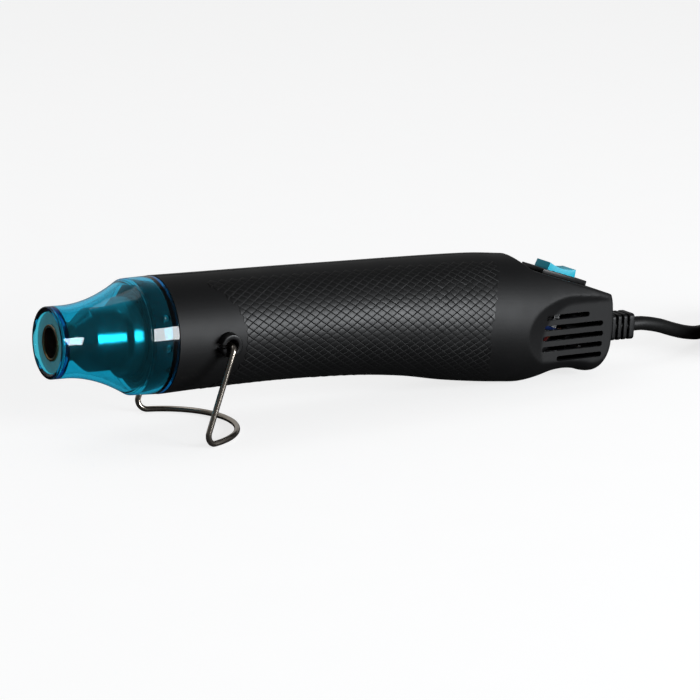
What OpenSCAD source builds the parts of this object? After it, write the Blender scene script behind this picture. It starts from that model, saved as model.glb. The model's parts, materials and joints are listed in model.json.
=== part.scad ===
// Embossing heat tool: a small straight hot-air tool with a see-through nozzle guard,
// a two-part grip shell, a rocker switch at the back, a folding wire stand and a mains cord.
// The tool's own axis is X with the nose towards -X; at rest the tool leans on its wire
// stand and on its belly, so every piece is set down by the module rest().

/* [Guard] */
// Length of the nozzle guard, from its rim to the seam with the grip
guard_len = 42.6; // [41:0.2:45]
// Outer radius of the guard's rim
rim_r = 13.2; // [12.8:0.1:14]
// Outer radius of the guard's collar at the seam
collar_r = 21.8; // [21.4:0.1:22.4]
// Length of the guard's straight collar
collar_len = 11.2; // [10:0.2:12]
// Wall of the guard
guard_wall = 1.8; // [1.5:0.1:2.1]
// Depth of the flat ring behind the rim
rim_recess = 1.85; // [1.5:0.05:2.2]
// Length of the guard's spigot inside the grip
spigot_len = 8; // [7:0.2:9]

/* [Grip] */
// Length of the two grip shells
shell_len = 197.4; // [190:0.5:206]
// Wall of the shells
shell_wall = 1.9; // [1.6:0.1:2.2]
// Radius of the grip where it meets the guard
front_r = 21.9; // [21.9:0.1:22.6]
// Height of the grip's top line above the axis
top_rise = 22.4; // [22:0.1:23]
// Depth of the underside at the waist
waist_drop = 20.6; // [20.2:0.1:21.2]
// Depth of the underside at the belly
belly_drop = 29.9; // [29:0.1:31]
// Half width of the grip at its widest
grip_half_w = 22.6; // [22.2:0.1:23.2]
// Half width of the flat side panel with the air slots
panel_half_w = 17; // [16.6:0.1:17.6]
// Inward taper of the side panel, in degrees
panel_taper = 4; // [3:0.5:5]
// Height of one air slot
slot_h = 2.1; // [1.8:0.1:2.4]
// Distance from one air slot to the next
slot_pitch = 4.2; // [3.8:0.1:4.4]

/* [Heater] */
// Radius of the bore of the hot-air mouth
mouth_r = 5.6; // [5:0.1:6]
// Wall of the hot-air mouth tube
mouth_wall = 1.2; // [0.8:0.1:1.4]
// Set-back of the mouth behind the guard's rim
mouth_back = 0.95; // [0.6:0.05:1.2]
// Length of the narrow mouth tube
mouth_len = 8.2; // [7.5:0.1:9]
// Outer radius of the middle step of the heat shield
neck_r = 11.5; // [11:0.1:11.9]
// Outer radius of the wide part of the heat shield
shield_r = 14.7; // [14.2:0.1:14.9]
// Wall of the heat shield
shield_wall = 0.6; // [0.4:0.05:0.8]
// Length of the whole heat shield
shield_len = 65; // [63:0.5:67]
// Number of turns of the heating wire
heater_turns = 12; // [8:1:14]
// Radius of the heating wire
heater_wire_r = 0.35; // [0.25:0.05:0.45]

/* [Fan and motor] */
// Tip radius of the fan
fan_r = 14.2; // [13.6:0.1:14.6]
// Width of the fan along its shaft
fan_w = 7; // [6:0.2:8]
// Number of fan blades
fan_blades = 7; // [5:1:9]
// Radius of the motor can
motor_r = 10; // [9.6:0.1:10.4]
// Length of the motor can
motor_len = 20; // [18:0.5:22]
// Radius of the motor shaft
shaft_r = 1; // [0.9:0.05:1.2]

/* [Switch] */
// Length of the switch bezel
bezel_l = 22.4; // [22:0.1:22.8]
// Width of the switch bezel
bezel_w = 15; // [14.6:0.1:15.4]
// Thickness of the switch bezel
bezel_h = 2; // [1.6:0.1:2.4]
// Backward slope of the switch pad, in degrees
pad_slope = 16.9; // [15:0.5:18]
// Depth of the switch body below its bezel
switch_depth = 12.2; // [11.6:0.1:13]
// Length of the rocker at the bezel
rocker_l = 14; // [13.4:0.1:14.2]
// Width of the rocker
rocker_w = 9.2; // [8.8:0.1:9.4]
// Height of the rocker's ends above the bezel
rocker_rise = 3; // [2.4:0.1:3.6]

/* [Stand] */
// Angle by which the nose points up when the tool stands, in degrees
nose_up = 2.7; // [2.2:0.1:3.2]
// Radius of the stand's wire
wire_r = 1.1; // [0.9:0.05:1.25]
// Distance of the stand's pivots behind the guard seam
pivot_back = 19.6; // [18:0.2:21]
// Distance of the stand's feet in front of the pivots
foot_forward = 12; // [10:0.5:14]
// Radius of the stand's floor loop
loop_r = 28.7; // [28:0.1:30]
// Radius of the pivot bushes
bush_r = 4; // [3.6:0.1:4.4]

/* [Cord] */
// Diameter of the mains cord
cord_d = 5.8; // [5.4:0.1:6]
// Radius of the ribs of the strain relief
relief_r = 5.3; // [5:0.1:5.8]
// Length of the strain relief outside the grip
relief_len = 19; // [17:0.5:21]
// Number of narrow ribs of the strain relief
relief_ribs = 5; // [4:1:6]
// Radius of the plug's contact pins
plug_pin_r = 2; // [1.8:0.05:2.4]
// Distance between the plug's contact pins
plug_pin_gap = 19; // [18:0.2:20]
// Length of the plug's contact pins
plug_pin_len = 19; // [17:0.5:20]

/* [Fits] */
// Radial clearance of a turning or sliding fit
run_gap = 0.05; // [0.03:0.01:0.08]
// Clearance between pieces that are laid side by side
seat_gap = 0.1; // [0.05:0.01:0.14]
// Clearance between pieces that move past each other
pass_gap = 0.3; // [0.25:0.05:0.4]

/* [Hidden] */
$fn = 48;

// Places along the tool's axis
seam_x = guard_len;
rear_x = seam_x + shell_len;
shoulder_x = seam_x - collar_len;
shield_end = mouth_back + shield_len;
duct_x = shield_end + 14;
fan_x = duct_x + 4.6;
motor_x = fan_x + fan_w + 5.4;
motor_end = motor_x + motor_len;
board_x = motor_end + 6;
head_x = rear_x - 36;

// Stations of the grip: place, top line, underside, half width, squareness above and below
stations = [
    [seam_x, front_r, front_r, front_r, 2, 2],
    [seam_x + 22, (front_r + top_rise) / 2 - 0.1, waist_drop + 0.45, grip_half_w - 0.9, 2, 2],
    [seam_x + 52, top_rise - 0.1, waist_drop, grip_half_w - 1, 2, 2],
    [head_x - 79, top_rise, waist_drop + 0.8, grip_half_w - 0.8, 2, 2],
    [head_x - 56, top_rise + 0.1, belly_drop - 6.4, grip_half_w - 0.3, 2, 2],
    [head_x - 38, top_rise + 0.1, belly_drop - 3.4, grip_half_w, 2, 2],
    [head_x - 22, top_rise - 0.15, belly_drop - 1.4, grip_half_w, 2, 2],
    [head_x - 10, top_rise - 1, belly_drop - 0.3, grip_half_w - 0.2, 2, 2],
    [head_x - 3, top_rise - 1.6, belly_drop, grip_half_w - 0.5, 2, 2.1],
    [head_x + 3, top_rise - 2.2, belly_drop - 1.2, grip_half_w - 1, 2, 2.3],
    [head_x + 9, top_rise - 2.8, belly_drop - 3.7, grip_half_w - 1.7, 2.05, 2.8],
    [head_x + 15, top_rise - 3.6, belly_drop - 4.8, grip_half_w - 2.5, 2.1, 3.3],
    [head_x + 21, top_rise - 4.8, belly_drop - 4.4, grip_half_w - 3.3, 2.2, 3.6],
    [rear_x - 9, top_rise - 6.6, belly_drop - 2.9, grip_half_w - 4.2, 2.5, 3.6],
    [rear_x - 5, top_rise - 8.2, belly_drop - 3.3, grip_half_w - 5, 2.6, 3.6],
    [rear_x - 2, top_rise - 10.8, belly_drop - 5.7, grip_half_w - 6, 2.9, 3.4],
    [rear_x - 0.6, top_rise - 14, belly_drop - 8.2, grip_half_w - 7.8, 3, 3.2],
    [rear_x, top_rise - 16.2, belly_drop - 10.1, grip_half_w - 9.4, 3, 3]];
section_steps = 16;

function slope(k, c) =
    let (a = max(k - 1, 0), b = min(k + 1, len(stations) - 1))
    (stations[b][c] - stations[a][c]) / (stations[b][0] - stations[a][0]);
function span_of(x, k = 0) =
    k >= len(stations) - 2 || x <= stations[k + 1][0] ? k : span_of(x, k + 1);
// Smooth curve through the stations, for column c at place x
function body_at(x, c) =
    let (k = span_of(x), w = stations[k + 1][0] - stations[k][0])
    let (t = max((x - stations[k][0]) / w, 0), a = stations[k][c], b = stations[k + 1][c])
    a * (1 + 2 * t) * pow(1 - t, 2) + b * t * t * (3 - 2 * t)
    + w * (slope(k, c) * t * pow(1 - t, 2) - slope(k + 1, c) * t * t * (1 - t));
body_xs = [for (k = [0:len(stations) - 2]) for (h = [0, 0.5])
    stations[k][0] * (1 - h) + stations[k + 1][0] * h, rear_x];

// How the tool is set down: its lowest belly point and the loop of the stand meet the floor
lift = max([for (x = body_xs) x * sin(nose_up) + body_at(x, 2) * cos(nose_up)]);
rim_lip = 1;
relief_end = rear_x + relief_len;
relief_z = -11.5;
front_reach = rim_lip * cos(nose_up) - (rim_r - rim_lip) * sin(nose_up) - rim_lip;
back_reach = relief_end * cos(nose_up) + (relief_z + relief_r) * sin(nose_up);
x_shift = -(front_reach + back_reach) / 2;

function to_world(p) = [
    p.x * cos(nose_up) + p.z * sin(nose_up) + x_shift,
    p.y,
    p.z * cos(nose_up) - p.x * sin(nose_up) + lift];

// Switch pad and places in the switch's own frame
pad_x = rear_x - 20.4;
pad_z = 10.8;
function at_pad(along, up) = [
    pad_x + along * cos(pad_slope) + up * sin(pad_slope),
    0,
    pad_z - along * sin(pad_slope) + up * cos(pad_slope)];
ramp_at = -bezel_l / 2 - 7.6;
ramp_slope = 0.5;
pad_end = (rear_x - pad_x) / cos(pad_slope);
pad_edge_r = 3;
switch_l = bezel_l - 3.6;
switch_w = bezel_w - 2.2;
well_l = rocker_l + 1;
well_w = rocker_w + 2 * pass_gap;
rocker_swing_r = well_l / 2 - pass_gap;
floor_h = 1.6;
trunnion_r = 1.2;
plunger_r = 1.3;
plunger_reach = 8.8;
lever_t = 0.5;
lever_hub = 0.45;
lever_z = -plunger_reach - 0.9;
blade_w = 4.8;
blade_t = 0.8;
blade_out = 8;
blade_gap = 5.5;
spade_len = 9;
spade_z = -switch_depth - 1.2;

// Air slots: row number and the distances of its ends from the back of the grip
slot_rows = [[2, -35.3, -13.3], [1, -35.7, -6.1], [0, -36.1, -5.8], [-1, -36.3, -6],
    [-2, -28.7, -6]];
slots_z = -10;
scoop_x = rear_x - 20.5;
scoop_z = -13;
scoop_r = 16.2;
scoop_flare = 2.8;

// Shell screws: place along the axis and height
screws = [[shield_end + 6.5, 15.3], [shield_end + 6.5, -15.2], [head_x - 54, 15.5],
    [head_x - 54, -17.4], [head_x - 8, -19]];
screw_r = 1.25;
screw_seat = 8;
screw_depth = 6;

// Heater
neck_x = mouth_back + mouth_len;
neck_front = neck_x + 5.4;
step_x = neck_front + 12;
sleeve_r = neck_r - shield_wall - run_gap;
sleeve_wall = 0.5;
sleeve_x = neck_front + 0.8;
sleeve_end = shield_end - 4;
card_x = sleeve_x + 2;
card_end = sleeve_end - 2;
card_t = 0.6;
card_ear = 2;
coil_r = sleeve_r - sleeve_wall - heater_wire_r - 0.9;
card_half = coil_r - heater_wire_r - 0.05;
tab_x = card_end + 3;
tab_end = shield_end + 2;
tab_zs = [5, 0, -5];
holder_x = seam_x - 8.4;
holder_end = seam_x + 4;
holder_r = shield_r + 1.8;
spigot_r = holder_r + seat_gap + 1.6;
socket_r = spigot_r + seat_gap;
flange_x = seam_x + 3.8;
flange_w = 2;
flange_r = spigot_r + 1;

// Fan duct and motor
duct_in = fan_r + 0.7;
duct_out = duct_in + 1.2;
duct_end = duct_x + 30;
rib_w = 2;
cup_r = motor_r + seat_gap / 2;
cup_wall = 1.2;
cup_x = motor_x - 1.8;
cup_len = 15;
boss_r = 3.1;
bearing_r = boss_r - 0.6;
can_wall = 0.6;
magnet_r = motor_r - can_wall - seat_gap;
armature_r = magnet_r - 1.9;
shaft_front = fan_x + 0.6;
cap_x = motor_end - 1.8;
commutator_r = 2.6;
motor_screw_z = 6.5;

// Leads: the side channel beside the fan duct
lead_r = 0.8;
side_y = -(duct_out + 1.55);
board_back = board_x + 1.6;
jacket_x = rear_x - 14;
spade_end = spade_z - spade_len;
clamp_x = rear_x - 12.5;
clamp_w = 5;
clamp_half = 9.5;
clamp_screw_z = 6.2;

// Stand
pivot = [seam_x + pivot_back, -26.6, -0.5];
bush_face_y = -25;
pin_end_y = 15.9;
elbow_t = 2.5;
foot_t = 5.4;
loop_open = 72;
pivot_w = to_world(pivot);
foot_w = [
    pivot_w.x - foot_forward - 1.7,
    -(loop_r * sin(loop_open) + foot_t * cos(loop_open)),
    wire_r];
loop_x = foot_w.x - loop_r * cos(loop_open) + foot_t * sin(loop_open);

// Cord: the free stretches run through points chosen by hand, in room coordinates
cord_r = cord_d / 2;
cord_start = to_world([relief_end, 0, relief_z]);
cord_dir = [cos(nose_up), 0, -sin(nose_up)];
turn_step = cord_d + 0.6;
layers_turns = 6.1;
coil_out = 44;
coil_c = [212, -18];
coil_from = 112;
coil_z = cord_r + 0.8;
tie_angle = 185;
tie_t = 0.6;
tie_w = 8;
rings_a_turn = 24;

function spin2(r, a, z) = [coil_c.x + r * cos(a), coil_c.y + r * sin(a), z];
// One point of the coil, u turns from its start: in for half the turns and out again,
// climbing one layer in the half turn where the spiral reverses
function coil_at(u) =
    let (h = layers_turns / 2, q = min(max((u - h) / 0.5 + 0.5, 0), 1))
    spin2(
        coil_out - turn_step * (h - abs(u - h)),
        coil_from - 360 * u,
        coil_z + turn_step * q * q * (3 - 2 * q));
coil_body = [for (k = [0:ceil(layers_turns * rings_a_turn)])
    coil_at(k * layers_turns / ceil(layers_turns * rings_a_turn))];
function unit(v) = v / norm(v);
coil_in_dir = unit(coil_body[1] - coil_body[0]);
coil_out_dir = unit(coil_body[len(coil_body) - 1] - coil_body[len(coil_body) - 2]);
coil_points = concat(
    [coil_body[0] - coil_in_dir * cord_d],
    coil_body,
    [coil_body[len(coil_body) - 1] + coil_out_dir * cord_d]);

cord_route = [cord_start, cord_start + cord_dir * cord_d, [144.5, 1.2, 13.1],
    [152.5, 3.2, 10.2], [161.5, 6.2, 7.2], [171.3, 10.2, 4.8], [180, 15.3, 3.8],
    coil_points[0] - coil_in_dir * 2, coil_points[0]];
plug_route = [coil_points[len(coil_points) - 1],
    coil_points[len(coil_points) - 1] + coil_out_dir * 4,
    [240.4, 15.6, 11.2], [249.6, 4.6, 12.8], [254.2, -8, 14.6], [253.4, -21.5, 16.4],
    [247, -33, 18.2], [236.5, -40, 19.6], [226, -42, 20.2], [220, -42, 20.2]];
plug_at = [220, -42, 20.2];
plug_sleeve = 8;
plug_len = 27;
plug_w = 35.3;
plug_h = 13.6;

function heading(p, k) = unit(p[min(k + 1, len(p) - 1)] - p[max(k - 1, 0)]);
// Smooth route through hand-chosen points, steps rings between neighbours
function route(p, steps) = [
    for (k = [0:len(p) - 2]) for (s = [0:steps - 1])
        let (t = s / steps, w = norm(p[k + 1] - p[k]))
        p[k] * (1 + 2 * t) * pow(1 - t, 2) + p[k + 1] * t * t * (3 - 2 * t)
        + w * (heading(p, k) * t * pow(1 - t, 2) - heading(p, k + 1) * t * t * (1 - t)),
    p[len(p) - 1]];

function square_to(v, d) = unit(v - d * (v * d));
// Side directions carried along the route without twist
function sides_of(p, v, k = 0) =
    k >= len(p) ? [] :
    let (s = square_to(v, heading(p, k)))
    concat([s], sides_of(p, s, k + 1));
function first_side(d) = abs(d.z) > 0.8 ? [1, 0, 0] : [0, 0, 1];

// One tube swept along points p
module tube(p, r, sides) {
    s = sides_of(p, first_side(heading(p, 0)));
    n = len(p);
    pts = [for (k = [0:n - 1]) for (j = [0:sides - 1])
        let (d = heading(p, k), a = 360 * (j + 0.5) / sides)
        p[k] + r * (cos(a) * s[k] + sin(a) * cross(d, s[k]))];
    walls = [for (k = [0:n - 2]) for (j = [0:sides - 1])
        let (a = k * sides + j, b = k * sides + (j + 1) % sides)
        each [[a, a + sides, b], [b, a + sides, b + sides]]];
    first = [for (j = [0:sides - 1]) j];
    last = [for (j = [sides - 1:-1:0]) (n - 1) * sides + j];
    polyhedron(points = pts, faces = concat(walls, [first, last]), convexity = 10);
}

// Points of a wire's bend at p, between the ways to a and to c, t back from the corner on each
function bend(a, p, c, t, n) =
    let (u = unit(a - p), v = unit(c - p), half = acos(u * v) / 2,
        centre = p + unit(u + v) * t / cos(half), e1 = unit(p + u * t - centre),
        e2 = cross(unit(cross(e1, p + v * t - centre)), e1))
    [for (k = [0:n]) let (q = (180 - 2 * half) * k / n)
        centre + t * tan(half) * (cos(q) * e1 + sin(q) * e2)];

// Turned piece about the tool's axis, from points [radius, place]
module turned(points, angle = 360) {
    rotate([0, 90, 0])
        rotate_extrude(angle = angle)
            polygon(points);
}

module ring(x0, x1, r_in, r_out) {
    turned([[r_in, x0], [r_out, x0], [r_out, x1], [r_in, x1]]);
}

module disc(x0, x1, r) {
    translate([x0, 0, 0])
        rotate([0, 90, 0])
            cylinder(h = x1 - x0, r = r);
}

// Cylinder across the tool, from y0 to y1
module cross_pin(x, z, y0, y1, r) {
    translate([x, y0, z])
        rotate([-90, 0, 0])
            cylinder(h = y1 - y0, r = r);
}

module block(x0, x1, y0, y1, z0, z1) {
    translate([x0, y0, z0])
        cube([x1 - x0, y1 - y0, z1 - z0]);
}

module rest() {
    translate([x_shift, 0, lift])
        rotate([0, nose_up, 0])
            children();
}

module at_switch() {
    translate([pad_x, 0, pad_z])
        rotate([0, pad_slope, 0])
            children();
}

// Half of the grip's outer shape, drawn in by inset, with its flat side at y = over
module grip_half(inset, over) {
    xs = inset == 0 ? body_xs
        : concat([seam_x - 1], [for (x = body_xs) if (x > seam_x && x < rear_x - inset - 0.4) x],
            [rear_x - inset]);
    n = section_steps + (over > 0 ? 3 : 1);
    pts = [for (x = xs) let (
            top = body_at(x, 1) - inset, low = body_at(x, 2) - inset,
            w = body_at(x, 3) - inset, e_top = 2 / body_at(x, 4), e_low = 2 / body_at(x, 5))
        each concat(
            [for (k = [0:section_steps])
                let (a = 180 * k / section_steps - 90, e = a > 0 ? e_top : e_low)
                [x, -w * pow(max(cos(a), 0), e),
                    (top - low) / 2 + (top + low) / 2 * sign(a) * pow(abs(sin(a)), e)]],
            over > 0 ? [[x, over, top], [x, over, -low]] : [])];
    walls = [for (k = [0:len(xs) - 2]) for (j = [0:n - 1])
        let (a = k * n + j, b = k * n + (j + 1) % n)
        each [[a, b, a + n], [b, b + n, a + n]]];
    front = [for (j = [n - 1:-1:0]) j];
    back = [for (j = [0:n - 1]) (len(xs) - 1) * n + j];
    polyhedron(points = pts, faces = concat(walls, [front, back]), convexity = 10);
}

// Scoop beside the air slots on the -Y side, drawn in by inset
module scoop(inset) {
    depth = 9;
    r0 = scoop_r + inset / 2;
    r1 = r0 + depth * scoop_flare;
    translate([scoop_x, -panel_half_w, scoop_z])
        rotate([0, 0, panel_taper])
            rotate([90, 0, 0])
                translate([0, 0, -inset]) {
                    cylinder(h = depth, r1 = r0, r2 = r1);
                    rotate([90, 0, 90])
                        linear_extrude(60)
                            polygon([[-r0, 0], [r0, 0], [r1, depth], [-r1, depth]]);
                }
}

// Everything above the switch pad and above the ramp in front of it, lowered by drop
module above_pad(drop) {
    turn = 90 - pad_slope;
    edge = [pad_end - pad_edge_r * tan(turn / 2), -pad_edge_r];
    rear_edge = [for (k = [0:6]) edge + pad_edge_r * [sin(turn * k / 6), cos(turn * k / 6)]];
    at_switch()
        translate([0, 40, -drop])
            rotate([90, 0, 0])
                linear_extrude(80)
                    polygon(concat([[ramp_at - 2, 2 * ramp_slope], [ramp_at - 0.2, 0.3],
                        [ramp_at + 1.6, 0]], rear_edge,
                        [[60, rear_edge[6].y], [60, 60], [ramp_at - 60, 60],
                        [ramp_at - 60, 60 * ramp_slope]]));
}

module air_slots() {
    for (row = slot_rows) {
        z = slots_z + row[0] * slot_pitch;
        x0 = rear_x + row[1] + slot_h / 2;
        x1 = rear_x + row[2] - slot_h / 2;
        block(x0, x1, -26, -9, z - slot_h / 2, z + slot_h / 2);
        cross_pin(x0, z, -26, -9, slot_h / 2);
        cross_pin(x1, z, -26, -9, slot_h / 2);
    }
}

// Solid that stays inside the -Y shell's hollow: ribs that both shells have
module common_ribs() {
    ring(seam_x - 2, seam_x + 10, socket_r, front_r + 4);
    ring(duct_x + 1, duct_x + 1 + rib_w, duct_out + run_gap, front_r + 6);
    ring(duct_end - 1 - rib_w, duct_end - 1, duct_out + run_gap, front_r + 6);
    above_pad(shell_wall);
    scoop(shell_wall);
}

module common_cuts() {
    above_pad(0);
    at_switch()
        block(-switch_l / 2 - seat_gap, switch_l / 2 + seat_gap,
            -switch_w / 2 - seat_gap, 1, -shell_wall - 3, 1);
    scoop(0);
    air_slots();
    ring(flange_x - seat_gap, flange_x + flange_w + seat_gap, spigot_r - 1,
        flange_r + seat_gap);
    cross_pin(pivot.x, pivot.z, -30, -10, bush_r + run_gap);
    cross_pin(pivot.x, pivot.z, -30, -20.8, bush_r + 0.65);
    translate([0, 0, relief_z])
        disc(rear_x - 10, rear_x + 5, relief_r - 1 + seat_gap);
}

module left_shell() {
    color([0.13, 0.13, 0.14])
        rest()
            difference() {
                grip_half(0, 0);
                difference() {
                    grip_half(shell_wall, 1);
                    difference() {
                        common_ribs();
                        block(duct_x - 2, duct_end + 2, -30, -10, -3.8, 3.8);
                    }
                    for (s = screws)
                        cross_pin(s[0], s[1], -30, 2, 3);
                    block(clamp_x, clamp_x + clamp_w, -30, 2, relief_z - clamp_half,
                        relief_z + clamp_half);
                }
                common_cuts();
                for (s = screws)
                    cross_pin(s[0], s[1], -screw_depth - 1, 2, screw_r + run_gap / 4);
                translate([0, 0, relief_z])
                    disc(clamp_x - 1, clamp_x + clamp_w + 1, cord_r + seat_gap);
                for (dz = [-clamp_screw_z, clamp_screw_z])
                    cross_pin(clamp_x + clamp_w / 2, relief_z + dz, -7, 2, 1);
            }
}

module right_shell() {
    color([0.15, 0.15, 0.16])
        rest()
            mirror([0, 1, 0])
                difference() {
                    grip_half(0, 0);
                    difference() {
                        grip_half(shell_wall, 1);
                        common_ribs();
                        for (s = screws)
                            cross_pin(s[0], s[1], -30, 2, 4);
                        // Baffle between the air slots and the switch's terminals
                        block(rear_x - 27, rear_x - 8, -9.4, -8.2, -30, -3);
                        block(rear_x - 27, rear_x - 25.8, -30, -8.2, -30, -3);
                    }
                    common_cuts();
                    for (s = screws) {
                        cross_pin(s[0], s[1], -20, 2, screw_r + 0.2);
                        cross_pin(s[0], s[1], -40, -screw_seat, 2.9);
                    }
                }
}

module shell_screws() {
    color([0.6, 0.6, 0.62])
        rest()
            for (s = screws) {
                cross_pin(s[0], s[1], -screw_depth, screw_seat + 0.5, screw_r);
                difference() {
                    cross_pin(s[0], s[1], screw_seat, screw_seat + 1.7, 2.5);
                    for (turn = [0, 90])
                        translate([s[0], screw_seat + 1.7, s[1]])
                            rotate([0, turn, 0])
                                cube([3, 1.6, 0.7], center = true);
                }
            }
}

// Outer line of the guard from the rim to the shoulder: a short straight, then a flare
flare_x = 6;
flare_steps = 10;
shoulder_r = collar_r - 0.4;
function flare_at(x) = rim_r
    + (shoulder_r - rim_r) * pow(max(x - flare_x, 0) / (shoulder_x - flare_x), 1.9);
flare_xs = [for (k = [0:flare_steps]) flare_x + (shoulder_x - flare_x) * k / flare_steps];

module nozzle_guard() {
    outer = concat(
        [[rim_r - 2 * rim_lip, rim_lip * 0.5], [rim_r - 1.5 * rim_lip, 0],
            [rim_r - rim_lip * 0.6, 0], [rim_r, rim_lip * 0.6]],
        [for (x = flare_xs) [flare_at(x), x]],
        [[collar_r, seam_x - 0.1]]);
    ring_r = rim_r - 2 * rim_lip;
    inner = concat(
        [[spigot_r, seam_x - 0.1], [spigot_r, flange_x], [flange_r, flange_x],
            [flange_r, flange_x + flange_w], [spigot_r, flange_x + flange_w],
            [spigot_r, seam_x + spigot_len], [holder_r + seat_gap, seam_x + spigot_len],
            [holder_r + seat_gap, seam_x - guard_wall],
            [collar_r - guard_wall - 0.2, seam_x - guard_wall]],
        [for (k = [flare_steps:-1:0]) [flare_at(flare_xs[k]) - guard_wall, flare_xs[k]]],
        [[ring_r, rim_recess + 1.6], [mouth_r + mouth_wall + seat_gap, rim_recess + 1.6],
            [mouth_r + mouth_wall + seat_gap, rim_recess], [ring_r, rim_recess]]);
    color([0, 0.55, 0.68, 0.6])
        rest()
            difference() {
                turned(concat(outer, inner));
                for (side = [-1, 1]) for (up = [-1, 28.6])
                    rotate([side * up, 0, 0])
                        cross_pin(seam_x - 4.6, 0, side < 0 ? -collar_r - 1 : collar_r - 0.9,
                            side < 0 ? -collar_r + 0.9 : collar_r + 1, 1);
            }
}

module heat_shield() {
    color([0.7, 0.68, 0.64])
        rest()
            turned([
                [mouth_r, mouth_back], [mouth_r + mouth_wall, mouth_back],
                [mouth_r + mouth_wall, neck_x], [neck_r, neck_front], [neck_r, step_x],
                [shield_r, step_x + 0.8], [shield_r, shield_end],
                [shield_r - shield_wall, shield_end],
                [shield_r - shield_wall, step_x + 0.8 + shield_wall],
                [neck_r - shield_wall, step_x + shield_wall],
                [neck_r - shield_wall, neck_front + 0.3], [mouth_r, neck_x + 0.3]]);
}

module shield_holder() {
    color([0.1, 0.1, 0.1])
        rest()
            ring(holder_x, holder_end, shield_r + run_gap, holder_r);
}

module mica_sleeve() {
    color([0.78, 0.74, 0.62])
        rest()
            ring(sleeve_x, sleeve_end, sleeve_r - sleeve_wall, sleeve_r);
}

module mica_washer() {
    color([0.74, 0.7, 0.58])
        rest()
            ring(sleeve_end - 3, sleeve_end - 2, sleeve_r + run_gap,
                shield_r - shield_wall - run_gap);
}

// One mica card of the cross, in the XZ plane, halved into its partner at one end
module mica_card(slot_front) {
    middle = (card_x + card_end) / 2;
    ear = sleeve_r - sleeve_wall - seat_gap;
    difference() {
        union() {
            block(card_x, card_end, -card_t / 2, card_t / 2, -card_half, card_half);
            block(card_x, card_x + card_ear, -card_t / 2, card_t / 2, -ear, ear);
            block(card_end - card_ear, card_end, -card_t / 2, card_t / 2, -ear, ear);
        }
        block(slot_front ? card_x - 1 : middle, slot_front ? middle : card_end + 1,
            -card_t, card_t, -card_t / 2 - run_gap, card_t / 2 + run_gap);
    }
}

module upright_mica_card() {
    color([0.8, 0.75, 0.6])
        rest()
            difference() {
                union() {
                    mica_card(true);
                    block(card_end, tab_x + 4, -card_t / 2, card_t / 2, -card_half,
                        card_half);
                }
                for (z = tab_zs)
                    cross_pin(tab_x + 1.5, z, -2, 2, 0.8 + run_gap);
            }
}

module level_mica_card() {
    color([0.76, 0.71, 0.56])
        rest()
            rotate([90, 0, 0])
                mica_card(false);
}

module heating_coil() {
    x0 = card_x + card_ear + 1;
    x1 = card_end - card_ear - 1;
    steps = heater_turns * 16;
    color([0.45, 0.43, 0.42])
        rest()
            tube([for (k = [0:steps]) let (a = 360 * heater_turns * k / steps)
                [x0 + (x1 - x0) * k / steps, coil_r * cos(a), coil_r * sin(a)]],
                heater_wire_r, 6);
}

module thermal_fuse() {
    r = 1.3;
    y = card_t / 2 + seat_gap + r;
    x = (card_x + card_end) / 2;
    color([0.85, 0.85, 0.8])
        rest()
            translate([0, y, 3.4]) {
                disc(x, x + 9, r);
                disc(x - 3, x + 12, 0.35);
            }
}

module thermostat() {
    y = -card_t / 2 - seat_gap;
    x = (card_x + card_end) / 2;
    color([0.75, 0.75, 0.78])
        rest() {
            block(x, x + 9, y - 1.5, y, -5.6, -1.4);
            block(x + 1, x + 8, y - 2, y - 1.4, -4.6, -2.4);
        }
}

// Brass tabs riveted to the -Y face of the upright card
module heater_terminals() {
    color([0.8, 0.65, 0.3])
        rest()
            for (z = tab_zs) {
                block(tab_x, tab_end, -card_t / 2 - 0.6, -card_t / 2 - 0.05, z - 1.2, z + 1.2);
                cross_pin(tab_x + 1.5, z, -card_t / 2 - 0.3, card_t / 2 + 0.4, 0.8);
                cross_pin(tab_x + 1.5, z, card_t / 2 + 0.05, card_t / 2 + 0.6, 1.3);
            }
}

module fan() {
    chord = fan_w * 1.12;
    color([0.9, 0.9, 0.88])
        rest()
            difference() {
                union() {
                    disc(fan_x + 1, fan_x + fan_w, 5.5);
                    for (k = [0:fan_blades - 1])
                        rotate([360 * k / fan_blades, 0, 0])
                            translate([fan_x + fan_w / 2, 0, (fan_r + 4.4) / 2])
                                rotate([0, 0, 40])
                                    cube([chord, 0.9, fan_r - 5], center = true);
                }
                disc(fan_x - 1, fan_x + fan_w + 1, shaft_r + run_gap / 4);
            }
}

module motor_mount() {
    color([0.2, 0.2, 0.22])
        rest()
            difference() {
                union() {
                    ring(duct_x, duct_end, duct_in, duct_out);
                    ring(cup_x, cup_x + cup_len, boss_r + seat_gap, cup_r + cup_wall);
                    for (k = [0:3])
                        rotate([45 + 90 * k, 0, 0])
                            block(cup_x, cup_x + cup_len, -0.8, 0.8, cup_r + cup_wall / 2,
                                duct_in + 0.6);
                }
                disc(motor_x - seat_gap, cup_x + cup_len + 1, cup_r);
                for (z = [-motor_screw_z, motor_screw_z])
                    translate([0, 0, z])
                        disc(cup_x - 1, motor_x + 1, 1 + seat_gap);
            }
}

module motor_screws() {
    color([0.62, 0.62, 0.64])
        rest()
            for (z = [-motor_screw_z, motor_screw_z])
                translate([0, 0, z]) {
                    disc(cup_x - 1.1, cup_x, 1.9);
                    disc(cup_x - 0.5, motor_x + can_wall, 1);
                }
}

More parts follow.
